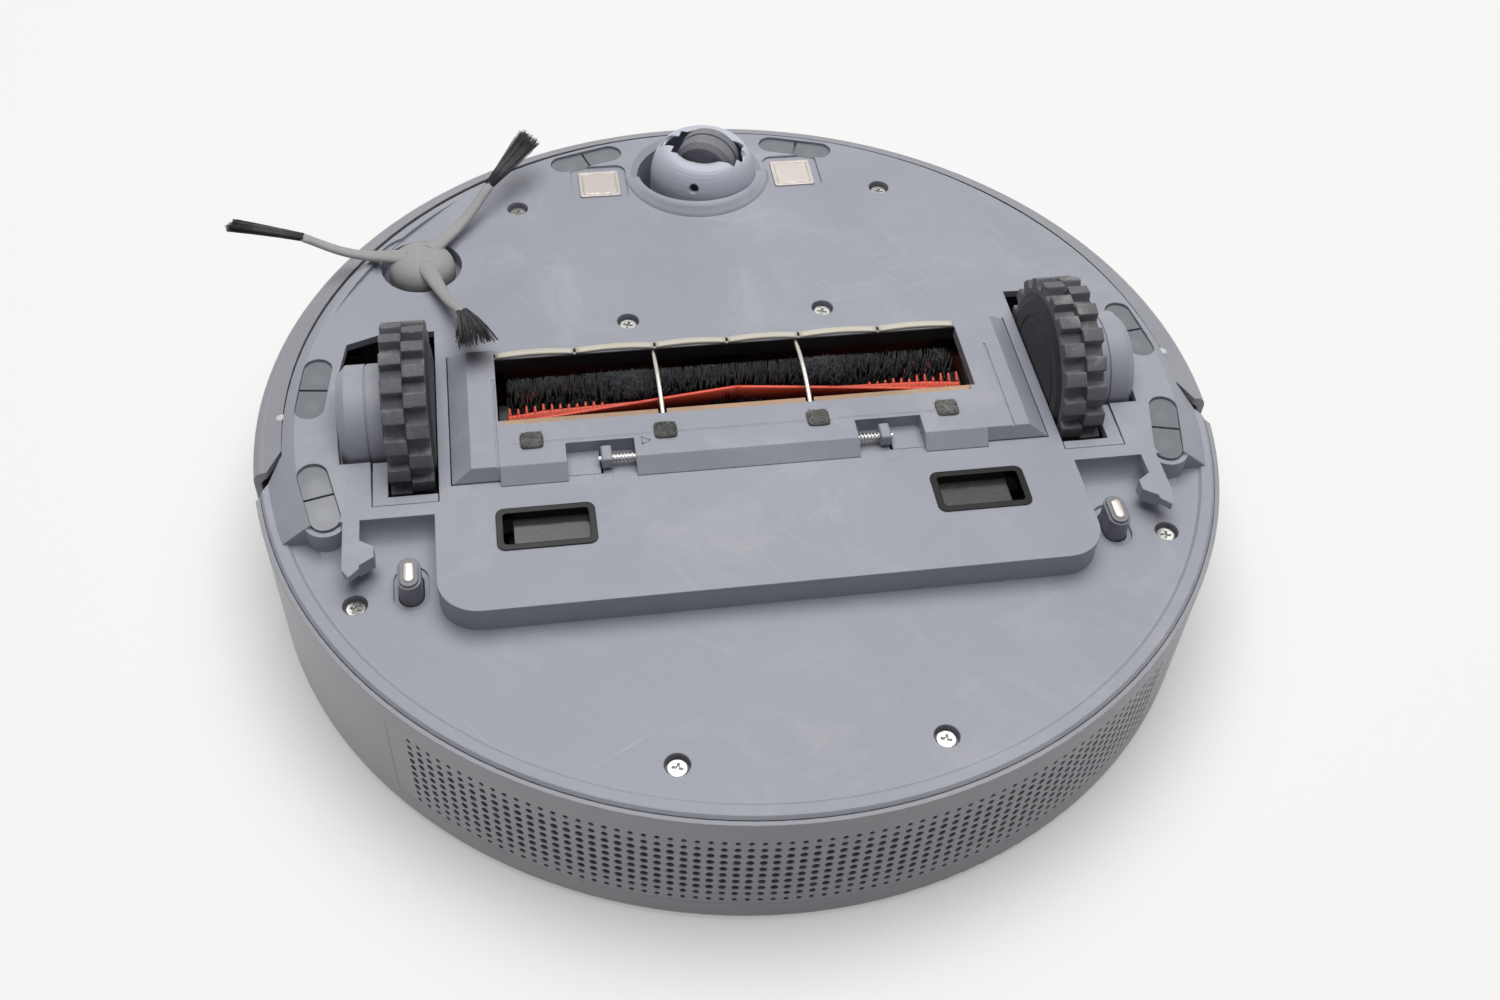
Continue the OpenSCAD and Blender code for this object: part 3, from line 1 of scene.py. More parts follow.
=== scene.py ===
# %% [markdown]
# # A robot vacuum on its back
#
# The machine lies upside down on a white table, so that its brush, wheels and sensors show. Its
# solid parts come from the CAD model and stay as they are. This script gives each of them a finish,
# and adds what solids can't show well: bristles, felt, lint and small bright inserts. Lengths are
# in metres.

# %% Load the machine
import json
import math
import bpy
import numpy as np
from mathutils import Matrix, Vector


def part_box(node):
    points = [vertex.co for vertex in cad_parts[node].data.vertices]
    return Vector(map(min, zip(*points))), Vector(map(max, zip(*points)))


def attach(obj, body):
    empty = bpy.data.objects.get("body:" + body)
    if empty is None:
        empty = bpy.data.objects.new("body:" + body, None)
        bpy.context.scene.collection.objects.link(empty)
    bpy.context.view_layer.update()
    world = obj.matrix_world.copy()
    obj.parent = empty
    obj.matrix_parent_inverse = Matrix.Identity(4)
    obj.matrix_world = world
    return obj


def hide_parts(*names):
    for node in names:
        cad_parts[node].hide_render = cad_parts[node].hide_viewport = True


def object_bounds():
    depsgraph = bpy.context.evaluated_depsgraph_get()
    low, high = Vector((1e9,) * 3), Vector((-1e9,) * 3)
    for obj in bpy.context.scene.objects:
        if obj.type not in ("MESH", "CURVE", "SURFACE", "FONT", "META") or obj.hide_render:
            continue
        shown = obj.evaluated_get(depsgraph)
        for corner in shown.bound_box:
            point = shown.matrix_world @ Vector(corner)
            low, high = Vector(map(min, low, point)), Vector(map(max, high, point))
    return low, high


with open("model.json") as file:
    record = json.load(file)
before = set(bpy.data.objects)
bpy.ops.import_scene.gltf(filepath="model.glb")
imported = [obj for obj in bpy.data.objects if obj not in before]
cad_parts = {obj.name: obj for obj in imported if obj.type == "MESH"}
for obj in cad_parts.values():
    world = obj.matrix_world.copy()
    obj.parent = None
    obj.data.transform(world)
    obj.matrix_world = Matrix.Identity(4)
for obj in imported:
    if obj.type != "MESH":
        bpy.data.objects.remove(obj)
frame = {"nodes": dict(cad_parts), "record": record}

cad_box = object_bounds()
low, high = cad_box
MM = 0.001
print("CAD box in mm:", [round(v / MM, 1) for v in (*low, *high)])

# %% [markdown]
# ## The camera
#
# The camera is set up in the room, where the machine lies on its back and its underside looks up. A
# turn of half a circle about X then carries the camera over into the machine's own frame, where it
# stands upright. So the numbers stay the ones that a photographer would read: round, up, tilt,
# distance.

# %% Place the camera
LENS = 38.18            # focal length on a sensor 36 mm wide
ROUND = math.radians(-11.479)
UP = math.radians(47.726)
TILT = math.radians(3.644)
DISTANCE = 0.5575
AIM = Vector((-0.0037, -0.0449, 0.0))
PLATE_LEVEL = 0.043     # the rear plate's height when the machine stands upright


def camera_in_the_room():
    """The camera's matrix in the room: it looks from ROUND and UP towards AIM, turned by TILT."""
    back = Vector((math.sin(ROUND) * math.cos(UP), -math.cos(ROUND) * math.cos(UP), math.sin(UP)))
    right = (-back).cross(Vector((0, 0, 1))).normalized()
    above = back.cross(right)
    level = Matrix((right, above, back)).transposed().to_4x4()
    return Matrix.Translation(AIM + back * DISTANCE) @ level @ Matrix.Rotation(TILT, 4, "Z")


turn_over = Matrix.Translation((0, 0, PLATE_LEVEL)) @ Matrix.Rotation(math.pi, 4, "X")
camera = bpy.data.objects.new("camera", bpy.data.cameras.new("camera"))
bpy.context.scene.collection.objects.link(camera)
camera.data.lens = LENS
camera.data.sensor_width = 36
camera.data.clip_start = 0.02
camera.matrix_world = turn_over @ camera_in_the_room()
bpy.context.scene.camera = camera
print("camera at", [round(v, 3) for v in camera.matrix_world.translation])

# %% [markdown]
# ## Nodes in few words
#
# Every finish below is a small graph of shader nodes. Two helpers keep each graph readable: one
# adds a node with its values and links in one call, the other opens a node group with named
# sockets.

# %% Helpers for node graphs
def add(tree, kind, inputs=None, **settings):
    """Add a node. inputs: socket name or number -> a value or another node's output socket."""
    node = tree.nodes.new("ShaderNode" + kind)
    for key, value in settings.items():
        setattr(node, key, value)
    for key, value in (inputs or {}).items():
        if isinstance(value, bpy.types.NodeSocket):
            tree.links.new(value, node.inputs[key])
        else:
            node.inputs[key].default_value = value
    return node


def math_node(tree, operation, *values, clamp=False):
    """A Math node's result for up to three values or sockets."""
    node = add(tree, "Math", dict(enumerate(values)), operation=operation, use_clamp=clamp)
    return node.outputs[0]


def new_group(name, takes, gives):
    """An empty shader node group. takes: socket name -> default; gives: socket name -> type."""
    tree = bpy.data.node_groups.new(name, "ShaderNodeTree")
    for label, value in takes.items():
        socket = tree.interface.new_socket(label, in_out="INPUT", socket_type="NodeSocketFloat")
        socket.default_value = value
    for label, kind in gives.items():
        tree.interface.new_socket(label, in_out="OUTPUT", socket_type="NodeSocket" + kind)
    return tree, tree.nodes.new("NodeGroupInput").outputs, tree.nodes.new("NodeGroupOutput").inputs


def smooth_step(tree, value, start, end):
    """0 below start, 1 above end, and a soft rise between them."""
    node = add(tree, "MapRange", {"Value": value, "From Min": start, "From Max": end},
               interpolation_type="SMOOTHSTEP")
    return node.outputs[0]


# %% [markdown]
# ## Four effects that the finishes share
#
# A moulded part is never one flat colour. It has a fine spark-eroded grain, its edges are rubbed
# paler, a film of dust lies on its open faces, and thin scratches cross it. Each effect is a node
# group, built once, that puts out masks and heights only. A finish then decides what colour and
# gloss they turn into.

# %% Grain of a moulded surface
def make_grain():
    """Height: fine noise at Scale per metre. Tone: broad, faint clouds between 0 and 1."""
    tree, takes, gives = new_group("moulded grain", {"Scale": 1400.0, "Clouds": 14.0},
                                   {"Height": "Float", "Tone": "Float"})
    place = add(tree, "TexCoord").outputs["Object"]
    fine = add(tree, "TexNoise", {"Vector": place, "Scale": takes["Scale"], "Detail": 2.0,
                                  "Roughness": 0.6})
    clouds = add(tree, "TexNoise", {"Vector": place, "Scale": takes["Clouds"], "Detail": 5.0,
                                    "Roughness": 0.62})
    tree.links.new(fine.outputs[0], gives["Height"])
    tree.links.new(smooth_step(tree, clouds.outputs[0], 0.3, 0.72), gives["Tone"])
    return tree


grain = make_grain()


# %% Rubbed edges
def make_rubbed_edges():
    """Mask: how far a rounded normal leaves the true one near an edge, broken up by noise."""
    tree, takes, gives = new_group("rubbed edges", {"Width": 0.0005, "Break up": 220.0},
                                   {"Mask": "Float", "Rounded": "Vector"})
    place = add(tree, "TexCoord").outputs["Object"]
    rounded = add(tree, "Bevel", {"Radius": takes["Width"]}, samples=4).outputs[0]
    true = add(tree, "NewGeometry").outputs["Normal"]
    agree = add(tree, "VectorMath", {0: rounded, 1: true}, operation="DOT_PRODUCT").outputs["Value"]
    edge = smooth_step(tree, math_node(tree, "SUBTRACT", 1.0, agree), 0.02, 0.22)
    noise = add(tree, "TexNoise", {"Vector": place, "Scale": takes["Break up"], "Detail": 4.0})
    patches = smooth_step(tree, noise.outputs[0], 0.42, 0.62)
    tree.links.new(math_node(tree, "MULTIPLY", edge, patches), gives["Mask"])
    tree.links.new(rounded, gives["Rounded"])
    return tree


rubbed_edges = make_rubbed_edges()


# %% Film of dust
def make_dust_film():
    """Mask: clouds of two sizes on faces that look up or down, thinner on walls."""
    tree, takes, gives = new_group("dust film", {"Scale": 26.0, "Amount": 0.5}, {"Mask": "Float"})
    place = add(tree, "TexCoord").outputs["Object"]
    broad = add(tree, "TexNoise", {"Vector": place, "Scale": takes["Scale"], "Detail": 6.0,
                                   "Roughness": 0.68, "Distortion": 0.8})
    specks = add(tree, "TexNoise", {"Vector": place, "Scale": 900.0, "Detail": 1.0})
    film = smooth_step(tree, broad.outputs[0], 0.48, 0.82)
    dots = smooth_step(tree, specks.outputs[0], 0.69, 0.78)
    normal = add(tree, "NewGeometry").outputs["Normal"]
    upright = add(tree, "SeparateXYZ", {0: normal}).outputs["Z"]
    open_face = smooth_step(tree, math_node(tree, "ABSOLUTE", upright), 0.3, 1.0)
    both = math_node(tree, "MULTIPLY_ADD", dots, 0.5, film)
    shown = math_node(tree, "MULTIPLY", both, math_node(tree, "MULTIPLY_ADD", open_face, 0.8, 0.2))
    tree.links.new(math_node(tree, "MULTIPLY", shown, takes["Amount"], clamp=True), gives["Mask"])
    return tree


dust_film = make_dust_film()


# %% Fine scratches
def make_fine_scratches():
    """Mask: thin streaks from noise that is stretched along two slanted directions."""
    tree, takes, gives = new_group("fine scratches", {"Density": 0.5}, {"Mask": "Float"})
    place = add(tree, "TexCoord").outputs["Object"]
    streaks = []
    for angle, along, across in ((0.5, 14.0, 1500.0), (-0.9, 22.0, 1900.0)):
        turned = add(tree, "Mapping", {"Vector": place, "Rotation": (0.0, 0.0, angle)})
        long = add(tree, "VectorMath", {0: turned.outputs[0], 1: (along, across, across)},
                   operation="MULTIPLY")
        noise = add(tree, "TexNoise", {"Vector": long.outputs[0], "Scale": 1.0, "Detail": 2.0})
        streaks.append(smooth_step(tree, noise.outputs[0], 0.67, 0.74))
    both = math_node(tree, "MAXIMUM", *streaks)
    where = add(tree, "TexNoise", {"Vector": place, "Scale": 19.0, "Detail": 3.0})
    here = smooth_step(tree, where.outputs[0], 0.45, 0.7)
    mask = math_node(tree, "MULTIPLY", both, math_node(tree, "MULTIPLY", here, takes["Density"]))
    tree.links.new(mask, gives["Mask"])
    return tree


fine_scratches = make_fine_scratches()
print("node groups:", sorted(g.name for g in bpy.data.node_groups))

# %% [markdown]
# ## One way to finish a moulded or turned part
#
# A finish starts from one colour and one roughness. The tone clouds vary both a little, rubbed
# edges and scratches make the surface paler and glossier or duller, and dust lays a pale matt film
# over it. Grain and scratches also feed a Bump node, which takes the rounded edge normal, so that
# edges catch light.

# %% The finish function
def colour(red, green, blue):
    """A colour written in screen values from 0 to 255, as the linear values that a shader needs."""
    part = np.array([red, green, blue]) / 255
    linear = np.where(part <= 0.04045, part / 12.92, ((part + 0.055) / 1.055) ** 2.4)
    return (*(float(v) for v in linear), 1.0)


def blend_colours(tree, factor, first, second):
    """The mix of two colours or colour sockets by a factor socket."""
    node = add(tree, "Mix", {0: factor, 6: first, 7: second}, data_type="RGBA")
    return node.outputs[2]


DUST = colour(214, 212, 206)
ROUGH_SWING = 0.1       # how far the tone clouds move the roughness


def start_material(name):
    """A new material with its nodes, its Principled shader and nothing linked to it yet."""
    material = bpy.data.materials.new(name)
    material.use_nodes = True
    tree = material.node_tree
    return material, tree, tree.nodes["Principled BSDF"]


def finish_part(name, base, rough, tone=0.12, edge=0.5, edge_width=0.0005, edge_colour=None,
                dust=0.3, dust_scale=26.0, scratches=0.3, bump=0.15, below=None, **fixed):
    """A worn finish: tone, edge, dust and scratches say how strongly each shared effect shows.

    below: a height and a second colour, for a part whose lowest face is painted like the plate
    round it.
    """
    material, tree, shader = start_material(name)
    clouds = add(tree, "Group", node_tree=grain)
    rub = add(tree, "Group", {"Width": edge_width}, node_tree=rubbed_edges)
    film = add(tree, "Group", {"Scale": dust_scale, "Amount": dust}, node_tree=dust_film)
    lines = add(tree, "Group", {"Density": scratches}, node_tree=fine_scratches)
    base_dark = (*(v * (1 - tone) for v in base[:3]), 1.0)
    base_light = (*(min(v * (1 + tone), 1.0) for v in base[:3]), 1.0)
    pale = edge_colour or (*(min(v * 1.7 + 0.03, 1.0) for v in base[:3]), 1.0)
    skin = blend_colours(tree, clouds.outputs["Tone"], base_dark, base_light)
    if below:
        place = add(tree, "SeparateXYZ", {0: add(tree, "TexCoord").outputs["Object"]}).outputs["Z"]
        skin = blend_colours(tree, math_node(tree, "LESS_THAN", place, below[0]), skin, below[1])
    worn = math_node(tree, "MULTIPLY", rub.outputs["Mask"], edge, clamp=True)
    marked = math_node(tree, "MAXIMUM", worn, lines.outputs["Mask"])
    skin = blend_colours(tree, marked, skin, pale)
    skin = blend_colours(tree, film.outputs["Mask"], skin, DUST)
    tree.links.new(skin, shader.inputs["Base Color"])
    swing = math_node(tree, "MULTIPLY_ADD", clouds.outputs["Tone"], ROUGH_SWING,
                      rough - ROUGH_SWING / 2)
    matt = math_node(tree, "MULTIPLY_ADD", film.outputs["Mask"], 0.35, swing, clamp=True)
    tree.links.new(matt, shader.inputs["Roughness"])
    height = math_node(tree, "MULTIPLY_ADD", lines.outputs["Mask"], -0.6, clouds.outputs["Height"])
    relief = add(tree, "Bump", {"Strength": bump, "Distance": 0.0004, "Height": height,
                                "Normal": rub.outputs["Rounded"]})
    tree.links.new(relief.outputs[0], shader.inputs["Normal"])
    for socket, value in fixed.items():
        shader.inputs[socket.replace("_", " ")].default_value = value
    return material


# %% [markdown]
# ## Plastics, rubbers and metals
#
# Each slot of the record gets its own finish. The colours are the ones that the parts show in plain
# light. The grey plates are a fine-grained satin plastic; the shell is the same grey, a little
# warmer.

# %% Finishes of the machine
PLATE_GREY = colour(158, 160, 171)
finishes = {
    "plate_plastic": finish_part("satin plate plastic", PLATE_GREY, 0.46, tone=0.05, dust=0.3,
                                 scratches=0.35),
    "shell_plastic": finish_part("satin shell plastic", colour(150, 151, 157), 0.42, tone=0.05,
                                 dust=0.16, scratches=0.25),
    "lid_plastic": finish_part("satin lid plastic", colour(156, 158, 163), 0.42, tone=0.04,
                               dust=0.22),
    "dark_grey_plastic": finish_part("dark grey plastic", colour(104, 105, 111), 0.5, dust=0.3),
    "black_plastic": finish_part("black plastic", colour(36, 36, 39), 0.5, tone=0.2, dust=0.2,
                                 dust_scale=60.0, scratches=0.6, Specular_IOR_Level=0.35),
    "gasket_black": finish_part("black gasket", colour(14, 14, 15), 0.22, edge=0.1, dust=0.08,
                                bump=0.03, Specular_IOR_Level=0.25),
    "smoky_plastic": finish_part("smoky bin plastic", colour(58, 56, 56), 0.2, dust=0.25,
                                 bump=0.04),
    "caster_grey": finish_part("caster plastic", colour(196, 199, 212), 0.36, tone=0.06, dust=0.2,
                               scratches=0.4),
    "caster_tread": finish_part("caster rubber", colour(118, 118, 126), 0.6, tone=0.2, dust=0.4,
                                dust_scale=90.0),
    "tread_rubber": finish_part("worn tread rubber", colour(92, 92, 98), 0.66, tone=0.16, edge=0.75,
                                edge_width=0.0012, edge_colour=colour(160, 160, 163), dust=0.5,
                                dust_scale=70.0, bump=0.4),
    "blade_rubber": finish_part("orange blade rubber", colour(246, 92, 66), 0.42, dust=0.1,
                                dust_scale=90.0, edge=0.3, bump=0.1,
                                edge_colour=colour(252, 150, 122)),
    "bearing_orange": finish_part("orange end cap", colour(54, 28, 23), 0.5, dust=0.25),
    "lip_amber": finish_part("amber lip", colour(186, 150, 118), 0.32, tone=0.2, dust=0.3,
                             dust_scale=80.0),
    "strip_silver": finish_part("cream strip", colour(208, 202, 186), 0.34, tone=0.08, dust=0.3,
                                dust_scale=70.0),
    "brush_grey": finish_part("soft grey rubber", colour(164, 163, 163), 0.6, tone=0.08, dust=0.35,
                              dust_scale=60.0, bump=0.25),
    "circuit_board": finish_part("circuit board", colour(34, 92, 58), 0.3),
    "battery_cells": finish_part("battery wrap", colour(58, 84, 150), 0.3, dust=0.1),
    "filter_white": finish_part("filter paper", colour(226, 226, 222), 0.85, dust=0.4),
    "ir_window": finish_part("dark window", colour(30, 20, 24), 0.1, edge=0.1, dust=0.12,
                             scratches=0.2, bump=0.01, Specular_IOR_Level=0.3),
    "button_white": finish_part("pale button", colour(214, 214, 216), 0.25, dust=0.08, bump=0.03),
}
metals = {
    "screw_steel": finish_part("plated screw steel", colour(190, 188, 184), 0.28, dust=0.2,
                               Metallic=1.0),
    "contact_metal": finish_part("nickel contact", colour(206, 197, 191), 0.3, tone=0.05, dust=0.25,
                                 dust_scale=60.0, scratches=0.7, Metallic=0.75),
    "motor_steel": finish_part("motor can", colour(170, 170, 174), 0.35, Metallic=1.0),
    "spring_steel": finish_part("spring wire", colour(206, 202, 194), 0.25, Metallic=1.0, edge=0.0),
    "pin_steel": finish_part("ground pin steel", colour(196, 196, 198), 0.22, Metallic=1.0,
                             edge=0.0),
}
finishes.update(metals)
print(len(finishes), "finishes")

# %% [markdown]
# The cliff sensors look out through clear caps that have gone a little milky. Only their roughness
# is varied, by a thin film of dust.

# %% Clear caps
def finish_clear(name, tint, rough):
    """Milky clear plastic: about half transmission, with a roughness that follows the dust."""
    material, tree, shader = start_material(name)
    film = add(tree, "Group", {"Scale": 60.0, "Amount": 0.5}, node_tree=dust_film)
    swing = math_node(tree, "MULTIPLY_ADD", film.outputs["Mask"], 0.3, rough, clamp=True)
    tree.links.new(swing, shader.inputs["Roughness"])
    shader.inputs["Base Color"].default_value = tint
    shader.inputs["Transmission Weight"].default_value = 0.55
    shader.inputs["IOR"].default_value = 1.49
    return material


finishes["lens_clear"] = finish_clear("clear cap", colour(176, 180, 187), 0.08)
finishes["felt"] = finish_part("brushed felt", colour(112, 111, 108), 0.95, tone=0.45, dust=0.3,
                               dust_scale=220.0, bump=0.8)
finishes["bristle_black"] = finish_part("black bristles", colour(13, 13, 15), 0.4, tone=0.3,
                                        dust=0.06, dust_scale=60.0, Specular_IOR_Level=0.35)
finishes["bristle_grey"] = finish_part("grey bristles", colour(72, 72, 76), 0.5, tone=0.25,
                                       dust=0.2)
# also the finish of the black sheet that paints the shade in the brush opening
chamber_and_shade_sheet_finish = finish_part("brush chamber", colour(27, 24, 25), 0.5, dust=0.2,
                             Specular_IOR_Level=0.3)
plunger_finish = finish_part("contact plunger", colour(128, 129, 136), 0.45, dust=0.2)
lint_finish = finish_part("grey lint", colour(128, 130, 138), 0.9, tone=0.3, dust=0.3)
well_finish = finish_part("well plastic", colour(40, 40, 43), 0.5, tone=0.15, dust=0.25,
                          below=(0.0367, PLATE_GREY))

# %% Give every CAD node the finish of its slot
special = {"left_wheel_frame": well_finish, "right_wheel_frame": well_finish,
           "brush_housing": chamber_and_shade_sheet_finish, "left_tank_contact": plunger_finish,
           "right_tank_contact": plunger_finish}
for row in frame["record"]["subparts"]:
    node = frame["nodes"][row["node"]]
    node.data.materials.clear()
    node.data.materials.append(special.get(row["node"], finishes[row["material_slot"]]))

# %% [markdown]
# ## Small pieces and how they are made
#
# Bristles, fibres, springs and inserts are all stacks of closed rings. One function joins a stack
# of rings into a closed skin. Another makes any number of thin tapering strands at once. Each new
# piece takes the finish of a slot (two have a finish of their own), and rides on the body that it
# belongs to.

# %% Stacks of rings
def skin_faces(rings, points):
    """Faces of one closed stack: quads between neighbouring rings, and a cap on both ends."""
    ring, point = np.meshgrid(np.arange(rings - 1), np.arange(points), indexing="ij")
    here = ring * points + point
    beside = ring * points + (point + 1) % points
    quads = np.stack([here, beside, beside + points, here + points], -1).reshape(-1, 4)
    caps = [list(range(points))[::-1], list(range((rings - 1) * points, rings * points))]
    return quads, caps


def new_piece(name, stacks, slot, body, stands_for=(), finish=None):
    """A piece made of stacks. Each stack is an array of ring x point x 3, all of one shape."""
    stacks = np.asarray(stacks, dtype=float)
    count, rings, points, _ = stacks.shape
    quads, caps = skin_faces(rings, points)
    start = np.arange(count)[:, None, None] * rings * points
    faces = (start + quads).reshape(-1, 4).tolist()
    for cap in caps:
        faces += (start[:, 0] + np.array(cap)).tolist()
    mesh = bpy.data.meshes.new(name)
    mesh.from_pydata(stacks.reshape(-1, 3).tolist(), [], faces)
    mesh.shade_smooth()
    mesh.materials.append(finish or finishes[slot])
    piece = bpy.data.objects.new(name, mesh)
    bpy.context.scene.collection.objects.link(piece)
    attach(piece, body)
    if stands_for:
        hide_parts(*stands_for)
    print(name, "faces", len(faces))
    return piece


def strands(roots, ways, lengths, bends, root_r, tip_r, rings=3):
    """Three-sided tapering strands: a point at t is root + way * length * t + bend * t squared."""
    t = np.linspace(0, 1, rings)[None, :, None]
    line = roots[:, None] + ways[:, None] * lengths[:, None, None] * t + bends[:, None] * t ** 2
    across = np.cross(ways, (0.31, 0.52, 0.79))
    across /= np.linalg.norm(across, axis=1, keepdims=True)
    other = np.cross(ways, across)
    turn = np.arange(3) * 2 * math.pi / 3
    around = across[:, None] * np.cos(turn)[:, None] + other[:, None] * np.sin(turn)[:, None]
    radius = root_r + (tip_r - root_r) * t
    return line[:, :, None] + around[:, None] * radius[..., None]


def pill_ring(length, width, points=32):
    """Points of a flat ring with two straight sides along Y and round ends, counter-clockwise."""
    angle = np.arange(points) * 2 * math.pi / points
    x = width / 2 * np.cos(angle)
    y = width / 2 * np.sin(angle) + np.where(np.sin(angle) >= 0, 1, -1) * (length - width) / 2
    return np.stack([x, y], -1)


def unit(vectors):
    """Vectors with length one."""
    return vectors / np.linalg.norm(vectors, axis=-1, keepdims=True)


rng = np.random.default_rng(7)

# %% [markdown]
# ## Levels
#
# Two levels come back in many of the pieces: the front plate and, a little below it, the face of
# the brush cover. Below means nearer to the ground.

# %% Measure the two levels
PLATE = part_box("chassis")[0].z
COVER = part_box("felt_pads")[1].z
print("front plate at", round(PLATE / MM, 2), "mm, brush cover at", round(COVER / MM, 2), "mm")

# %% [markdown]
# ## The main brush
#
# The roller carries three pairs of orange blades that meet in a shallow V, and a dense coat of
# black bristles behind each blade. The angle about the roller's axis is measured from +Y towards
# +Z. It grows from the middle of the roller towards both ends, because the blades lean back there.

# %% Coat of bristles on the roller
core_low, core_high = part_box("roller_core")
coat_low, coat_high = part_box("roller_bristles")
AXIS = np.array([(coat_low.x + coat_high.x) / 2, (core_low.y + core_high.y) / 2,
                 (core_low.z + core_high.z) / 2])
HALF = (coat_high.x - coat_low.x) / 2 - 2 * MM
CORE_R = 8.9 * MM
COAT_R = 18.2 * MM
BLADE_ANGLE = math.radians(-75.5)
HELIX = math.radians(25)
print("roller axis", np.round(AXIS / MM, 1), "half length", round(HALF / MM, 1))


def round_axis(x, angle, radius):
    """Points at the given places along the roller's axis, angles round it and radii."""
    return np.stack([AXIS[0] + x, AXIS[1] + radius * np.cos(angle),
                     AXIS[2] + radius * np.sin(angle)], -1)


def coat(count, first, last, reach=1.0):
    """Strands between two angles behind a blade, over the share reach of the roller's length.

    A strand runs from the core to a tip that lies a little further round, bent by noise.
    """
    x = rng.uniform(-1, 1, count) * HALF * reach
    sector = rng.integers(0, 3, count) * 2 * math.pi / 3
    behind = np.radians(rng.uniform(first, last, count))
    angle = BLADE_ANGLE + HELIX * np.abs(x) / HALF + sector + behind
    root = round_axis(x, angle, CORE_R)
    tip_r = COAT_R - np.abs(rng.normal(0, 0.3 * MM, count))
    tip = round_axis(x + rng.normal(0, 0.5 * MM, count), angle + rng.normal(0.02, 0.05, count),
                     tip_r)
    way = tip - root
    bend = rng.normal(0, 0.25 * MM, (count, 3))
    start = way - bend
    return strands(root, unit(start), np.linalg.norm(start, axis=1), bend, 0.22 * MM, 0.13 * MM)


# the full coat, and a small tuft right behind each V, in the middle of the roller
bristle_stacks = np.concatenate([coat(9600, 38, 113), coat(240, 4, 38, 0.11)])
new_piece("roller_coat", bristle_stacks, "bristle_black", "roller", ["roller_bristles"])

# %% Lint caught between the bristles
LINT_MARGIN = 4 * MM


def lint(count, middle, spread):
    """Thin grey hairs across the bristle tips, round a place on the roller, clear of its ends."""
    x = np.clip(rng.normal(middle, spread, count), -HALF + LINT_MARGIN, HALF - LINT_MARGIN)
    angle = BLADE_ANGLE + HELIX * np.abs(x) / HALF - np.radians(rng.uniform(6, 80, count))
    root = round_axis(x, angle, COAT_R - rng.uniform(0.1, 1.2, count) * MM)
    way = round_axis(x + rng.normal(0, 1.4 * MM, count), angle - 0.08, COAT_R - 0.4 * MM) - root
    bend = rng.normal(0, 0.5 * MM, (count, 3))
    return strands(root, unit(way), rng.uniform(1.0, 3.0, count) * MM, bend, 0.07 * MM, 0.05 * MM,
                   rings=4)


lint_stacks = np.concatenate([lint(700, -38 * MM, 7 * MM), lint(420, 34 * MM, 6 * MM),
                              lint(260, 0.0, 50 * MM)])
new_piece("roller_lint", lint_stacks, "bristle_grey", "roller", finish=lint_finish)

# %% Blades
def blade_half(side, sector):
    """Rings along half a blade, from the roller's middle to its end, thinner towards the tip."""
    outline = np.array([(9.3, -1.5), (12.5, -0.9), (17.6, -0.5),
                        (17.6, 0.5), (12.5, 0.9), (9.3, 1.5)]) * MM
    stack = []
    for part in np.linspace(0, 1, 31):
        angle = BLADE_ANGLE + HELIX * part + sector
        y = AXIS[1] + outline[:, 0] * math.cos(angle) - outline[:, 1] * math.sin(angle)
        z = AXIS[2] + outline[:, 0] * math.sin(angle) + outline[:, 1] * math.cos(angle)
        ring = np.stack([np.full(6, AXIS[0] + side * part * HALF), y, z], -1)
        stack.append(ring[::side])
    return stack


blade_stacks = [blade_half(side, k * 2 * math.pi / 3) for side in (-1, 1) for k in range(3)]
new_piece("blade_set", blade_stacks, "blade_rubber", "roller", ["roller_blades"])

# %% [markdown]
# Towards the roller's ends each blade's edge folds forward and is cut into small teeth. The fold is
# a thin strip that widens towards the end; the teeth stand on its free edge.

# %% Folded edge and teeth of the blades
BLADE_TIP = 17.5 * MM
FLAP_T = 0.5 * MM
# places along the roller, from its middle: where the fold starts and over what run it grows to its
# full angle, and the same for the teeth
FOLD_START, FOLD_RUN, FOLD_ANGLE = 30 * MM, 40 * MM, math.radians(9)
TEETH_START, TEETH_RUN = 46 * MM, 38 * MM


def flap(x, angle_from, angle_to, radius_from, radius_to, width_from, width_to):
    """A stack of five rings: a thin flap along the curve of the tip circle, from root to edge."""
    stack = []
    for t in np.linspace(0, 1, 5):
        angle = angle_from + (angle_to - angle_from) * t
        radius = radius_from + (radius_to - radius_from) * t
        half = (width_from + (width_to - width_from) * t) / 2
        ring = [(x + half, radius), (x + half, radius - FLAP_T),
                (x - half, radius - FLAP_T), (x - half, radius)]
        stack.append([round_axis(px, angle, pr) for px, pr in ring])
    return stack


def blade_edge(side, sector):
    """Flaps of one blade: the folded strip in short lengths, and the teeth on it."""
    flaps = []
    for x in np.arange(34.0, 83.5, 1.5) * MM:
        base = BLADE_ANGLE + HELIX * x / HALF + sector
        fold = FOLD_ANGLE * min(1.0, (x - FOLD_START) / FOLD_RUN)
        flaps.append(flap(side * x, base + 0.02, base - fold, BLADE_TIP, BLADE_TIP + 0.2 * MM,
                          1.55 * MM, 1.55 * MM))
        if round(x / MM * 2) % 6 == 2 and x > TEETH_START:
            tall = math.radians(rng.uniform(0.5, 1.0) * (3 + 10 * (x - TEETH_START) / TEETH_RUN))
            flaps.append(flap(side * x, base - fold, base - fold - tall, BLADE_TIP + 0.2 * MM,
                              BLADE_TIP + 0.7 * MM, 1.3 * MM, 0.5 * MM))
    return flaps


edge_stacks = [stack for side in (-1, 1) for k in range(3)
               for stack in blade_edge(side, k * 2 * math.pi / 3)]
new_piece("blade_edges", edge_stacks, "blade_rubber", "roller")

# %% [markdown]
# ## The front strip of the brush cover
#
# The strip that keeps the roller's opening free at the front is six springy pieces of cream
# plastic. Each is bowed a little outwards between its ends.

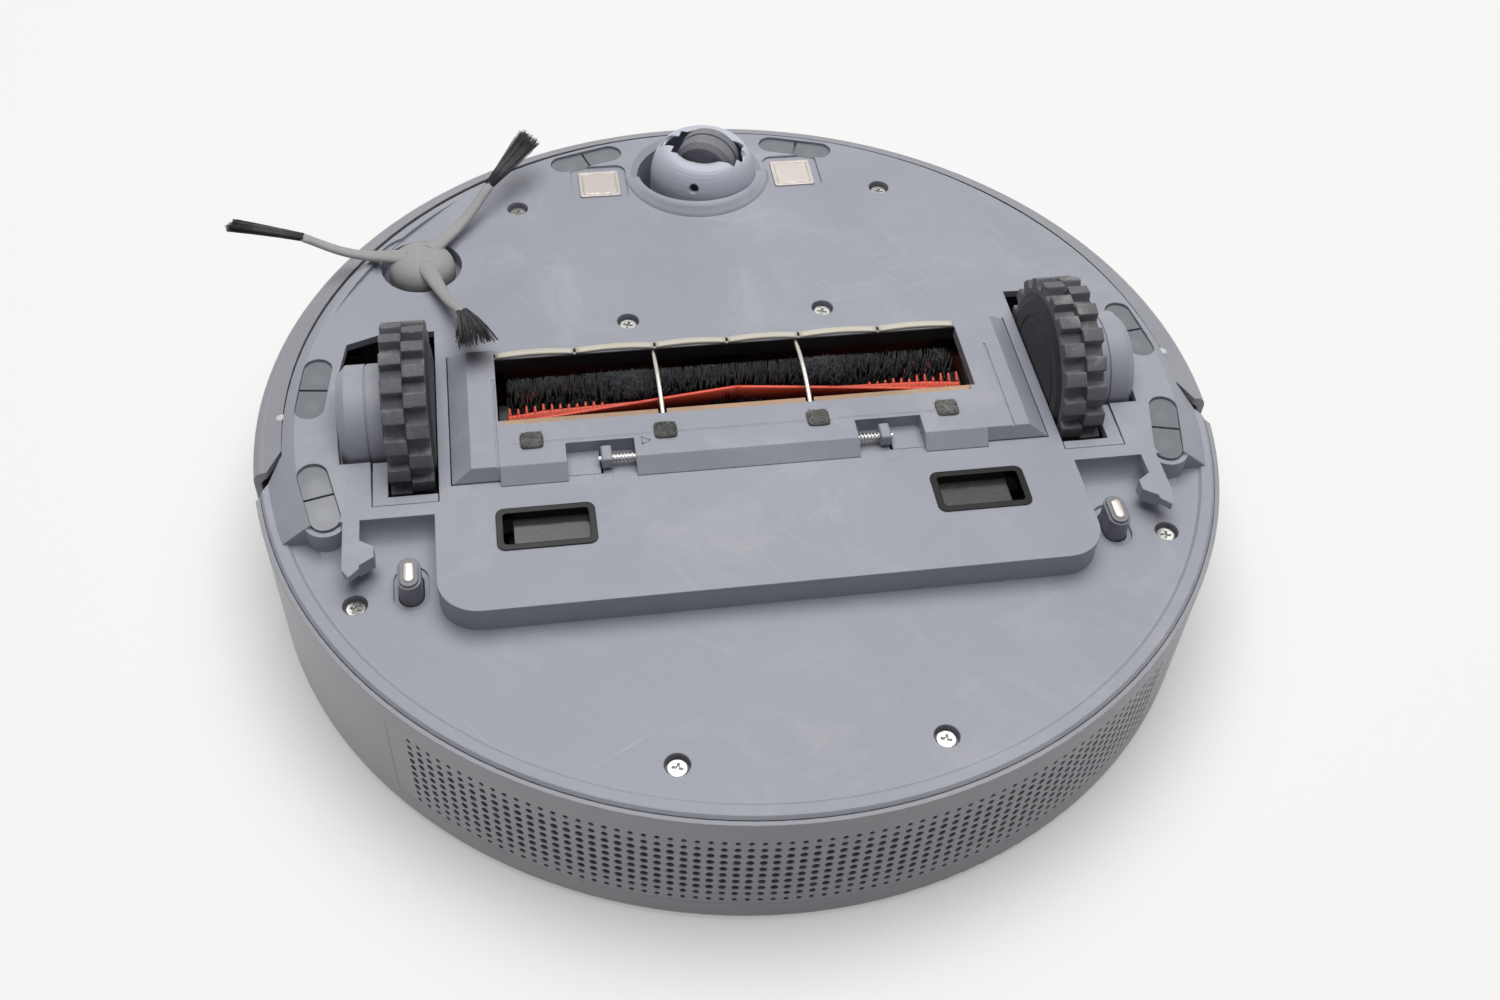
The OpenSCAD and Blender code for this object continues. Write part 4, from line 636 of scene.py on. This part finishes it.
# %% Bowed strip
strip_low, strip_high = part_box("front_strip")
STRIP_CUTS = np.array([-59.2, -29.8, -2.9, 24.1, 54.3]) * MM
STRIP_GAP = 0.5 * MM
edges = np.concatenate([[strip_low.x], STRIP_CUTS, [strip_high.x]])


def bowed_length(x_from, x_to, bow):
    """A stack along X: a slat that stands out to the front and below by bow times half a sine."""
    profile = np.array([(-0.9, 0.3), (-0.5, 0.0), (1.6, 0.0),
                        (2.0, 0.3), (2.0, 0.86), (-0.9, 0.86)]) * MM
    middle = (strip_low.y + strip_high.y) / 2
    stack = []
    for t in np.linspace(0, 1, 17):
        lift = bow * math.sin(math.pi * t)
        x = x_from + STRIP_GAP + (x_to - x_from - 2 * STRIP_GAP) * t
        stack.append([(x, middle + 0.2 * MM - lift + py,
                       strip_low.z + pz - lift * 0.4 * (pz < 0.5 * MM)) for py, pz in profile])
    return stack


slats = [bowed_length(a, b, 0.7 * MM) for a, b in zip(edges[:-1], edges[1:])]
new_piece("bowed_strip", slats, "strip_silver", "brush_cover", ["front_strip"])

# %% [markdown]
# Behind the strip the opening falls away into shade; a black sheet on its front wall paints it.
# At the back of the opening a thin amber lip scrapes the roller.

# %% Painted shade sheet and lip of the opening
MOUTH_X = (strip_low.x + 0.1 * MM, strip_high.x - 0.1 * MM)
# place of the thin black sheet that paints the shade behind the strip
SHADE_SHEET_Y = (-20.38 * MM, -20.1 * MM)
SHADE_SHEET_Z = (COVER + 0.15 * MM, COVER + 6 * MM)
LIP_Y = (10.2 * MM, 13.4 * MM)
LIP_Z = (COVER + 1.05 * MM, COVER + 1.75 * MM)
# the lip stops short of both guard wires
LIP_ENDS = [MOUTH_X[0], -32.1 * MM, -29.1 * MM, 21.2 * MM, 24.2 * MM, MOUTH_X[1]]


def bar_block(x, y, z):
    """A plain block between two corners in each direction, as two rings."""
    return [[(x[0], y[0], level), (x[1], y[0], level), (x[1], y[1], level), (x[0], y[1], level)]
            for level in z]


def flat_blocks(name, blocks, slot, body, stands_for=(), finish=None, edge=0.15 * MM):
    """Blocks with a rounded edge as one piece with flat faces."""
    piece = new_piece(name, blocks, slot, body, stands_for, finish)
    bevel = piece.modifiers.new("edge", "BEVEL")
    bevel.width = edge
    bevel.segments = 2
    piece.data.shade_flat()
    return piece


# painted shade: a black sheet on the opening's front wall stands for the dark behind the strip
flat_blocks("mouth_shade_sheet", [bar_block(MOUTH_X, SHADE_SHEET_Y, SHADE_SHEET_Z)], "gasket_black", "brush_cover",
            finish=chamber_and_shade_sheet_finish, edge=0.05 * MM)
lips = [bar_block((a, b), LIP_Y, LIP_Z) for a, b in zip(LIP_ENDS[::2], LIP_ENDS[1::2])]
flat_blocks("amber_lip", lips, "lip_amber", "brush_cover", ["rear_scraper"])

# %% [markdown]
# ## Felt pads
#
# Four pads of brushed felt keep the cover from rattling. Each is a low cushion with a rounded rim
# and an uneven top, and short fibres stand out of it.

# %% Felt pads and their fibres
felt_low, felt_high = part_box("felt_pads")
PAD_X = np.array([-77.5, -30.9, 23.6, 70.7]) * MM
PAD_Y = 22.3 * MM
PAD_HALF = (felt_high.y - felt_low.y) / 2
PAD_T = felt_high.z - felt_low.z
# share of the half width and share of the thickness, from the foot to the middle of the top
PAD_SECTION = [(1.0, 0.0), (1.02, 0.35), (0.99, 0.7), (0.9, 0.94), (0.6, 1.04), (0.3, 1.02),
               (0.05, 1.04)]
FIBRES = 900


def felt_pad(x):
    """Rings of a superellipse of power 5, drawn in towards the top; noise breaks rim and top."""
    angle = np.arange(48) * 2 * math.pi / 48
    square = (np.abs(np.cos(angle)) ** 5 + np.abs(np.sin(angle)) ** 5) ** -0.2
    stack = []
    for size, rise in PAD_SECTION:
        radius = PAD_HALF * size * square * (1 + rng.normal(0, 0.008, 48))
        height = felt_high.z - PAD_T * rise + rng.normal(0, 0.03 * MM, 48) * (rise > 0)
        ring = np.stack([x + radius * np.cos(angle), PAD_Y + radius * np.sin(angle) * 0.94,
                         height], -1)
        stack.append(ring[::-1])
    return stack


pads = new_piece("soft_pads", [felt_pad(x) for x in PAD_X], "felt", "brush_cover", ["felt_pads"])
fibre_root = np.stack([rng.choice(PAD_X, FIBRES) + rng.uniform(-1, 1, FIBRES) * PAD_HALF * 0.98,
                       PAD_Y + rng.uniform(-1, 1, FIBRES) * PAD_HALF * 0.92,
                       np.full(FIBRES, felt_low.z + 0.05 * MM)], -1)
fibre_way = unit(rng.normal(0, 1, (FIBRES, 3)) * (1, 1, 0.3) - (0, 0, 0.35))
fibre_length = rng.uniform(0.5, 1.3, FIBRES) * MM
fibre_bend = rng.normal(0, 0.2 * MM, (FIBRES, 3))
fibres = strands(fibre_root, fibre_way, fibre_length, fibre_bend, 0.05 * MM, 0.03 * MM)
new_piece("pad_fibres", fibres, "felt", "brush_cover")

# %% [markdown]
# ## The side brush
#
# Each of its three rubber arms holds one flat tuft. The tufts have worn differently: one stays
# narrow and short, one spreads like a fan, and the one under the plate is splayed and ragged.

# %% Hub and arms of the side brush
SIDE_AXIS = np.array([-114.0, -84.0]) * MM
HUB_R = 12.8 * MM
ARM_ANGLES = [-170, -50, 70]


def hub_stack(points=64):
    """Rings of a low dome, then a straight skirt.

    From the middle out, the radius grows as a sine and the level rises with the power 2.2.
    """
    part = np.linspace(0.02, 1, 13)
    radius = np.append(HUB_R * np.sin(part * math.pi / 2), HUB_R)
    level = np.append(PLATE - 5 * MM + 8 * MM * part ** 2.2, PLATE + 6 * MM)
    turn = np.arange(points) * 2 * math.pi / points
    x = SIDE_AXIS[0] + radius[:, None] * np.cos(turn)
    y = SIDE_AXIS[1] + radius[:, None] * np.sin(turn)
    return np.stack([x, y, np.broadcast_to(level[:, None], x.shape)], -1)


def arm_stack(angle, points=16):
    """Oval rings along an arm that leaves the hub, bends down to the floor and gets thinner."""
    out = np.array([math.cos(math.radians(angle)), math.sin(math.radians(angle)), 0])
    side = np.array([-out[1], out[0], 0])
    reach = np.linspace(5, 45, 33)
    drop = np.interp(reach, [5, 12, 20, 27, 33, 39, 45], [3.0, 2.6, 2.4, 3.2, 5.0, 7.6, 10.4])
    drop = np.convolve(np.pad(drop, 2, mode="edge"), np.ones(5) / 5, mode="valid")
    wide = np.interp(reach, [5, 14, 24, 41, 43.5, 45], [4.2, 3.1, 2.35, 2.1, 2.35, 1.7])
    thick = np.interp(reach, [5, 14, 24, 42, 45], [1.8, 1.6, 1.45, 1.35, 1.1])
    line = (np.array([*SIDE_AXIS, PLATE]) + out * reach[:, None] * MM
            - np.array([0, 0, MM]) * drop[:, None])
    ahead = unit(np.gradient(line, axis=0))
    upward = np.cross(ahead, side)
    turn = np.arange(points) * 2 * math.pi / points
    return (line[:, None] + side * (wide[:, None] * np.cos(turn))[..., None] * MM
            + upward[:, None] * (thick[:, None] * np.sin(turn))[..., None] * MM)


new_piece("side_hub", [hub_stack()], "brush_grey", "side_brush", ["side_brush_hub"])
new_piece("side_arms", [arm_stack(a) for a in ARM_ANGLES], "brush_grey", "side_brush")

# %% Tufts of the side brush
ARM_END = 44 * MM
TUFT_Z = PLATE - 10.2 * MM
TUFT_STRANDS = 300
# direction of the arm, length, spread at the root and at the tip, ragged ends, sideways bend
TUFTS = [(-170, 27, 3.2, 5.4, 0.05, -1.5), (-50, 30, 3.4, 10.5, 0.1, -0.5),
         (70, 25.5, 3.8, 14.0, 0.2, 3.5)]


def tuft(angle, length, root_w, tip_w, ragged, bend):
    """Strands that start side by side in an arm's end and fan out to the tuft's tip width."""
    turn = math.radians(angle)
    out = np.array([math.cos(turn), math.sin(turn), 0])
    side = np.array([-math.sin(turn), math.cos(turn), 0])
    place = rng.uniform(-1, 1, (TUFT_STRANDS, 1))
    layer = rng.uniform(-1, 1, (TUFT_STRANDS, 1))
    root = ((*SIDE_AXIS, TUFT_Z) + out * ARM_END + side * place * root_w / 2 * MM
            + (0, 0, 0.7 * MM) * layer)
    spread = place * (tip_w - root_w) / 2 * MM + rng.normal(0, 0.25 * MM, (TUFT_STRANDS, 1))
    way = out * length * MM + side * spread + (0, 0, MM) * (layer * 0.6 - 6.3 * length / 30)
    far = 1 - np.abs(rng.normal(0, ragged, TUFT_STRANDS)) - 0.05 * place[:, 0]
    reach = np.linalg.norm(way, axis=1) * far
    curve = side * (bend * MM + rng.normal(0, 0.3 * MM, (TUFT_STRANDS, 1)))
    return strands(root, unit(way), reach, curve, 0.19 * MM, 0.12 * MM, rings=4)


new_piece("side_tufts", np.concatenate([tuft(*row) for row in TUFTS]), "bristle_grey", "side_brush",
          ["side_bristles"])

# %% [markdown]
# ## Springs, inserts and marks
#
# Each latch is a tab on a short rod, in a notch of the cover, with a small coil spring beside it.
# Oval inserts of bright metal top the two contacts, and pale dots close the bumper's fixings. Where
# the solid model has a slot or a groove that would stay closed, a low block fills it.

# %% Latches, their rods and the floors of their notches
# outer face of each tab, and the way out from the middle
LATCH_X = {"left": (-54.2 * MM, -1), "right": (48.3 * MM, 1)}
TAB_W = 3.8 * MM
TAB_Y = (26.6 * MM, 33.8 * MM)
TAB_Z = (COVER + 0.3 * MM, PLATE - 0.1 * MM)
ROD_Y, ROD_Z = 30.8 * MM, PLATE - 2.2 * MM
NOTCH_Y = (24.4 * MM, 35.6 * MM)
SLOT_Y = (35.75 * MM, 40.5 * MM)
SLOT_HALF = 3.2 * MM
GROOVE_X, GROOVE_Y = (-84 * MM, 66 * MM), (22.66 * MM, 23.34 * MM)


def block_stack(x, y, z, taper=0.0):
    """A block between two corners as three rings, drawn in by taper at its lowest face."""
    stack = []
    for level, inset in ((z[1], 0.0), (z[0] + 0.5 * MM, 0.0), (z[0], taper)):
        xs = sorted(x)[0] + inset, sorted(x)[1] - inset
        ys = y[0] + inset, y[1] - inset
        stack.append([(xs[0], ys[0], level), (xs[0], ys[1], level), (xs[1], ys[1], level),
                      (xs[1], ys[0], level)])
    return stack


def rod_stack(x_from, x_to, radius=1.0 * MM, points=20):
    """A round rod along X in two rings."""
    turn = np.arange(points) * 2 * math.pi / points
    return [[(x, ROD_Y + radius * math.cos(a), ROD_Z + radius * math.sin(a)) for a in turn]
            for x in sorted((x_from, x_to))]


rods, floors = [], []
for side, (middle, way) in LATCH_X.items():
    tab = block_stack((middle - way * TAB_W, middle), TAB_Y, TAB_Z, 0.4 * MM)
    flat_blocks(side + "_latch_tab", [tab], "plate_plastic", side + "_latch", [side + "_latch"],
                edge=0.35 * MM)
    rods.append(rod_stack(middle - way * 12.4 * MM, middle + way * 1.0 * MM))
    floors.append(block_stack((middle + way * 0.4 * MM, middle + way * 12.2 * MM), NOTCH_Y,
                              (PLATE, PLATE + 1.4 * MM)))
    floors.append(block_stack((middle - way * 11.9 * MM, middle - way * 0.4 * MM), NOTCH_Y,
                              (PLATE + 0.8 * MM, PLATE + 2.0 * MM)))
new_piece("rod_pair", rods, "pin_steel", "brush_cover", ["latch_rods"]).data.shade_flat()
flat_blocks("notch_floors", floors, "plate_plastic", "brush_cover", edge=0.2 * MM)
fillers = [bar_block((x - SLOT_HALF, x + SLOT_HALF), SLOT_Y, (PLATE + 0.01 * MM, PLATE + 1.5 * MM))
           for x, _ in LATCH_X.values()]
flat_blocks("slot_fillers", fillers, "plate_plastic", "body", edge=0.02 * MM)
groove = bar_block(GROOVE_X, GROOVE_Y, (COVER + 0.005 * MM, COVER + 0.29 * MM))
flat_blocks("groove_filler", [groove], "plate_plastic", "brush_cover", edge=0.02 * MM)

# %% Latch springs
def coil(x_from, x_to, radius, wire, turns, points=8):
    """A stack of round rings along a helix whose axis runs along X at the latch rod."""
    t = np.linspace(0, 1, turns * 16 + 1)
    angle = 2 * math.pi * turns * t
    line = np.stack([x_from + (x_to - x_from) * t, ROD_Y + radius * np.cos(angle),
                     ROD_Z + radius * np.sin(angle)], -1)
    ahead = unit(np.gradient(line, axis=0))
    out = np.stack([0 * t, np.cos(angle), np.sin(angle)], -1)
    other = np.cross(ahead, out)
    turn = np.arange(points) * 2 * math.pi / points
    return line[:, None] + wire * (out[:, None] * np.cos(turn)[:, None]
                                   + other[:, None] * np.sin(turn)[:, None])


springs = [coil(middle - way * 11.7 * MM, middle - way * 4.1 * MM, 1.5 * MM, 0.26 * MM, 6)
           for middle, way in LATCH_X.values()]
new_piece("latch_springs", springs, "spring_steel", "brush_cover")

# %% Lip behind the caster
CASTER_X, CASTER_Y = 0.5 * MM, -132 * MM


def lip_stack():
    """Sections of a lip round the back of the caster's hole.

    Its height is 4.1 mm times a sine to the power 0.75, so it fades out at both sides.
    """
    stack = []
    for turn in np.linspace(math.radians(2), math.radians(178), 61):
        rise = 4.1 * math.sin(turn) ** 0.75
        section = [(24.8, 0.4), (24.6, -0.3 * rise), (24.2, -0.88 * rise), (24.7, -rise),
                   (25.9, -0.97 * rise), (27.2, -0.66 * rise), (28.6, -0.24 * rise),
                   (30.0, 0.0), (30.0, 0.4)]
        stack.append([(CASTER_X + r * MM * math.cos(turn), CASTER_Y + r * MM * math.sin(turn),
                       PLATE + z * MM) for r, z in section])
    return stack


new_piece("caster_lip", [lip_stack()], "plate_plastic", "body")

# %% Inserts of the tank contacts
def insert_stack(centre, level):
    """A low oval button that stands out below level."""
    stack = []
    for shrink, rise in ((0.0, -0.4), (0.0, 0.35), (0.35, 0.6), (1.1, 0.72), (1.5, 0.74)):
        flat = pill_ring((8.6 - 2 * shrink) * MM, (3.6 - 2 * shrink) * MM)[::-1]
        stack.append([(centre.x + x, centre.y + y, level - rise * MM) for x, y in flat])
    return stack


for side in ("left", "right"):
    first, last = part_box(side + "_tank_contact")
    new_piece(side + "_contact_insert", [insert_stack((first + last) / 2, first.z)],
              "contact_metal", side + "_tank_contact")

# %% Pale dots on the bumper's flange
DOTS = [(80, -140), (139.5, -85.5), (165.4, -9)]
DOT_R = 1.7 * MM
bumper = frame["nodes"]["bumper"]
dot_stacks = []
for x, y in [(s * x * MM, y * MM) for x, y in DOTS for s in (-1, 1)]:
    hit, where, normal, _ = bumper.ray_cast(Vector((x, y, 0.0)), Vector((0, 0, 1)))
    print("dot", round(x / MM, 1), round(y / MM, 1), hit and round(where.z / MM, 2))
    if hit:
        angle = np.arange(24) * 2 * math.pi / 24
        level = [(1.0, -0.3), (1.0, 0.05), (0.8, 0.22), (0.45, 0.3), (0.1, 0.32)]
        across = normal.to_track_quat("Z", "Y").to_matrix()
        dot_stacks.append([[where + across @ Vector((DOT_R * r * math.cos(a),
                                                     DOT_R * r * math.sin(a), h * MM))
                            for a in angle] for r, h in level])
new_piece("flange_dots", dot_stacks, "button_white", "bumper")

# %% A small arrow mark beside the latch
MARK_W, MARK_H = 0.45 * MM, 0.2 * MM


def bar_stack(start, end):
    """A thin raised bar between two points on the cover's face."""
    start, end = np.array(start) * MM, np.array(end) * MM
    along = unit(end - start)
    side = np.array([-along[1], along[0]]) * MARK_W / 2
    stack = []
    for point in (start, end):
        low_side, high_side = point - side, point + side
        stack.append([(*low_side, COVER + 0.1 * MM), (*high_side, COVER + 0.1 * MM),
                      (*high_side, COVER - MARK_H), (*low_side, COVER - MARK_H)])
    return stack


corners = [(-39.6, 24.6), (-39.6, 28.0), (-36.6, 26.3)]
bars = [bar_stack(corners[i], corners[(i + 1) % 3]) for i in range(3)]
new_piece("arrow_mark", bars, "plate_plastic", "brush_cover")

# %% [markdown]
# ## Table, floor and light
#
# The machine is shown lying on its back on a table, and other views show it standing on a floor.
# Both surfaces are here. Each has one visible side: the Backfacing test lets a camera on the wrong
# side see through it. The floor counts for the camera alone, so it takes no light from the
# underside.

# %% Two one-sided surfaces
TABLE_GAP = 0.0003
PLANE_SIZE = 6.0
PLANE_SHADE = 0.9
PAPER_LIGHT = colour(252, 252, 251)
# colour of the painted contact shadow on the plain paper
PAPER_PAINTED_SHADOW = colour(176, 176, 176)
PAPER_SHARE = 0.76      # how much of the floor is seen as plain paper


def seen_directly(tree):
    """1 for camera, glossy and transmission rays, 0 for all others."""
    path = add(tree, "LightPath").outputs
    seen = math_node(tree, "MAXIMUM", path["Is Camera Ray"], path["Is Glossy Ray"])
    return math_node(tree, "MAXIMUM", seen, path["Is Transmission Ray"])


def one_sided_plane(name, height, faces_up):
    """A square whose front is pale and matt and whose back is invisible.

    To the camera and in reflections the front is a mix: part of it is lit like any matt surface and
    takes the soft shadow, part is evenly glowing white paper with a painted contact shadow, darker
    where an ambient occlusion test finds something close.
    """
    half = PLANE_SIZE / 2
    corners = [(x * half, y * half, height) for x, y in ((-1, -1), (1, -1), (1, 1), (-1, 1))]
    mesh = bpy.data.meshes.new(name)
    mesh.from_pydata(corners, [], [(0, 1, 2, 3) if faces_up else (3, 2, 1, 0)])
    plane = bpy.data.objects.new(name, mesh)
    bpy.context.scene.collection.objects.link(plane)
    material, tree, shader = start_material(name)
    shader.inputs["Base Color"].default_value = (PLANE_SHADE, PLANE_SHADE, PLANE_SHADE * 0.99, 1.0)
    shader.inputs["Roughness"].default_value = 0.8
    shader.inputs["Specular IOR Level"].default_value = 0.2
    # painted contact shadow: the paper's glow darkens where an ambient occlusion test finds
    # something close
    close = add(tree, "AmbientOcclusion", {"Distance": 0.05}, samples=8).outputs["AO"]
    paper = blend_colours(tree, smooth_step(tree, close, 0.35, 0.95), PAPER_PAINTED_SHADOW, PAPER_LIGHT)
    white = add(tree, "Emission", {"Color": paper, "Strength": 1.0})
    share = math_node(tree, "MULTIPLY", seen_directly(tree), PAPER_SHARE)
    front = add(tree, "MixShader", {0: share, 1: shader.outputs[0], 2: white.outputs[0]})
    clear = add(tree, "BsdfTransparent")
    back = add(tree, "NewGeometry").outputs["Backfacing"]
    pick = add(tree, "MixShader", {0: back, 1: front.outputs[0], 2: clear.outputs[0]})
    tree.links.new(pick.outputs[0], tree.nodes["Material Output"].inputs["Surface"])
    mesh.materials.append(material)
    plane.visible_shadow = False
    return plane


one_sided_plane("table", high.z + TABLE_GAP, faces_up=False)
floor = one_sided_plane("floor", low.z - TABLE_GAP, faces_up=True)
floor.visible_diffuse = False
floor.visible_glossy = False
floor.visible_transmission = False

# %% [markdown]
# One broad lamp over the table and one over the floor give the soft light of a studio ceiling. A
# lamp's power is worked out from the brightness that a flat face under it should have: the share of
# the sky that a square lamp fills is its view factor, and brightness is that share times the lamp's
# radiance.

# %% Lamps and world
def view_factor(width, distance):
    """The share of a flat face's sky that a square lamp fills, straight over the face."""
    half = width / 2 / distance
    slope = math.sqrt(1 + half * half)
    return 4 / math.pi * half / slope * math.atan(half / slope)


def broad_lamp(name, place, aim, width, level):
    """A square area lamp that lights a flat face at aim to the given level."""
    lamp = bpy.data.lights.new(name, "AREA")
    lamp.shape = "SQUARE"
    lamp.size = width
    way = Vector(place) - Vector(aim)
    radiance = level / view_factor(width, way.length)
    lamp.energy = radiance * math.pi * width * width
    lamp_object = bpy.data.objects.new(name, lamp)
    bpy.context.scene.collection.objects.link(lamp_object)
    lamp_object.location = place
    lamp_object.rotation_mode = "QUATERNION"
    lamp_object.rotation_quaternion = way.to_track_quat("Z", "Y")
    print(name, "radiance", round(radiance, 2), "power", round(lamp.energy, 1))


LAMP_LEVEL = 0.82
WORLD_LEVEL = 0.11
BACKGROUND = 0.96
broad_lamp("table lamp", (0.1, -0.3, -1.5), (0, 0, 0.03), 1.6, LAMP_LEVEL)
broad_lamp("floor lamp", (-0.3, -0.5, 1.6), (0, 0, 0.1), 1.8, LAMP_LEVEL)


def light_world(level, background):
    """World: soft light at level; camera, glossy and transmission rays see the pale background."""
    world = bpy.data.worlds.new("studio")
    world.use_nodes = True
    bpy.context.scene.world = world
    tree = world.node_tree
    soft = tree.nodes["Background"]
    soft.inputs["Color"].default_value = (1, 1, 1, 1)
    soft.inputs["Strength"].default_value = level
    pale = add(tree, "Background", {"Color": (1, 1, 1, 1), "Strength": background})
    pick = add(tree, "MixShader", {0: seen_directly(tree), 1: soft.outputs[0], 2: pale.outputs[0]})
    tree.links.new(pick.outputs[0], tree.nodes["World Output"].inputs["Surface"])


light_world(WORLD_LEVEL, BACKGROUND)
bpy.context.scene.view_settings.view_transform = "Standard"
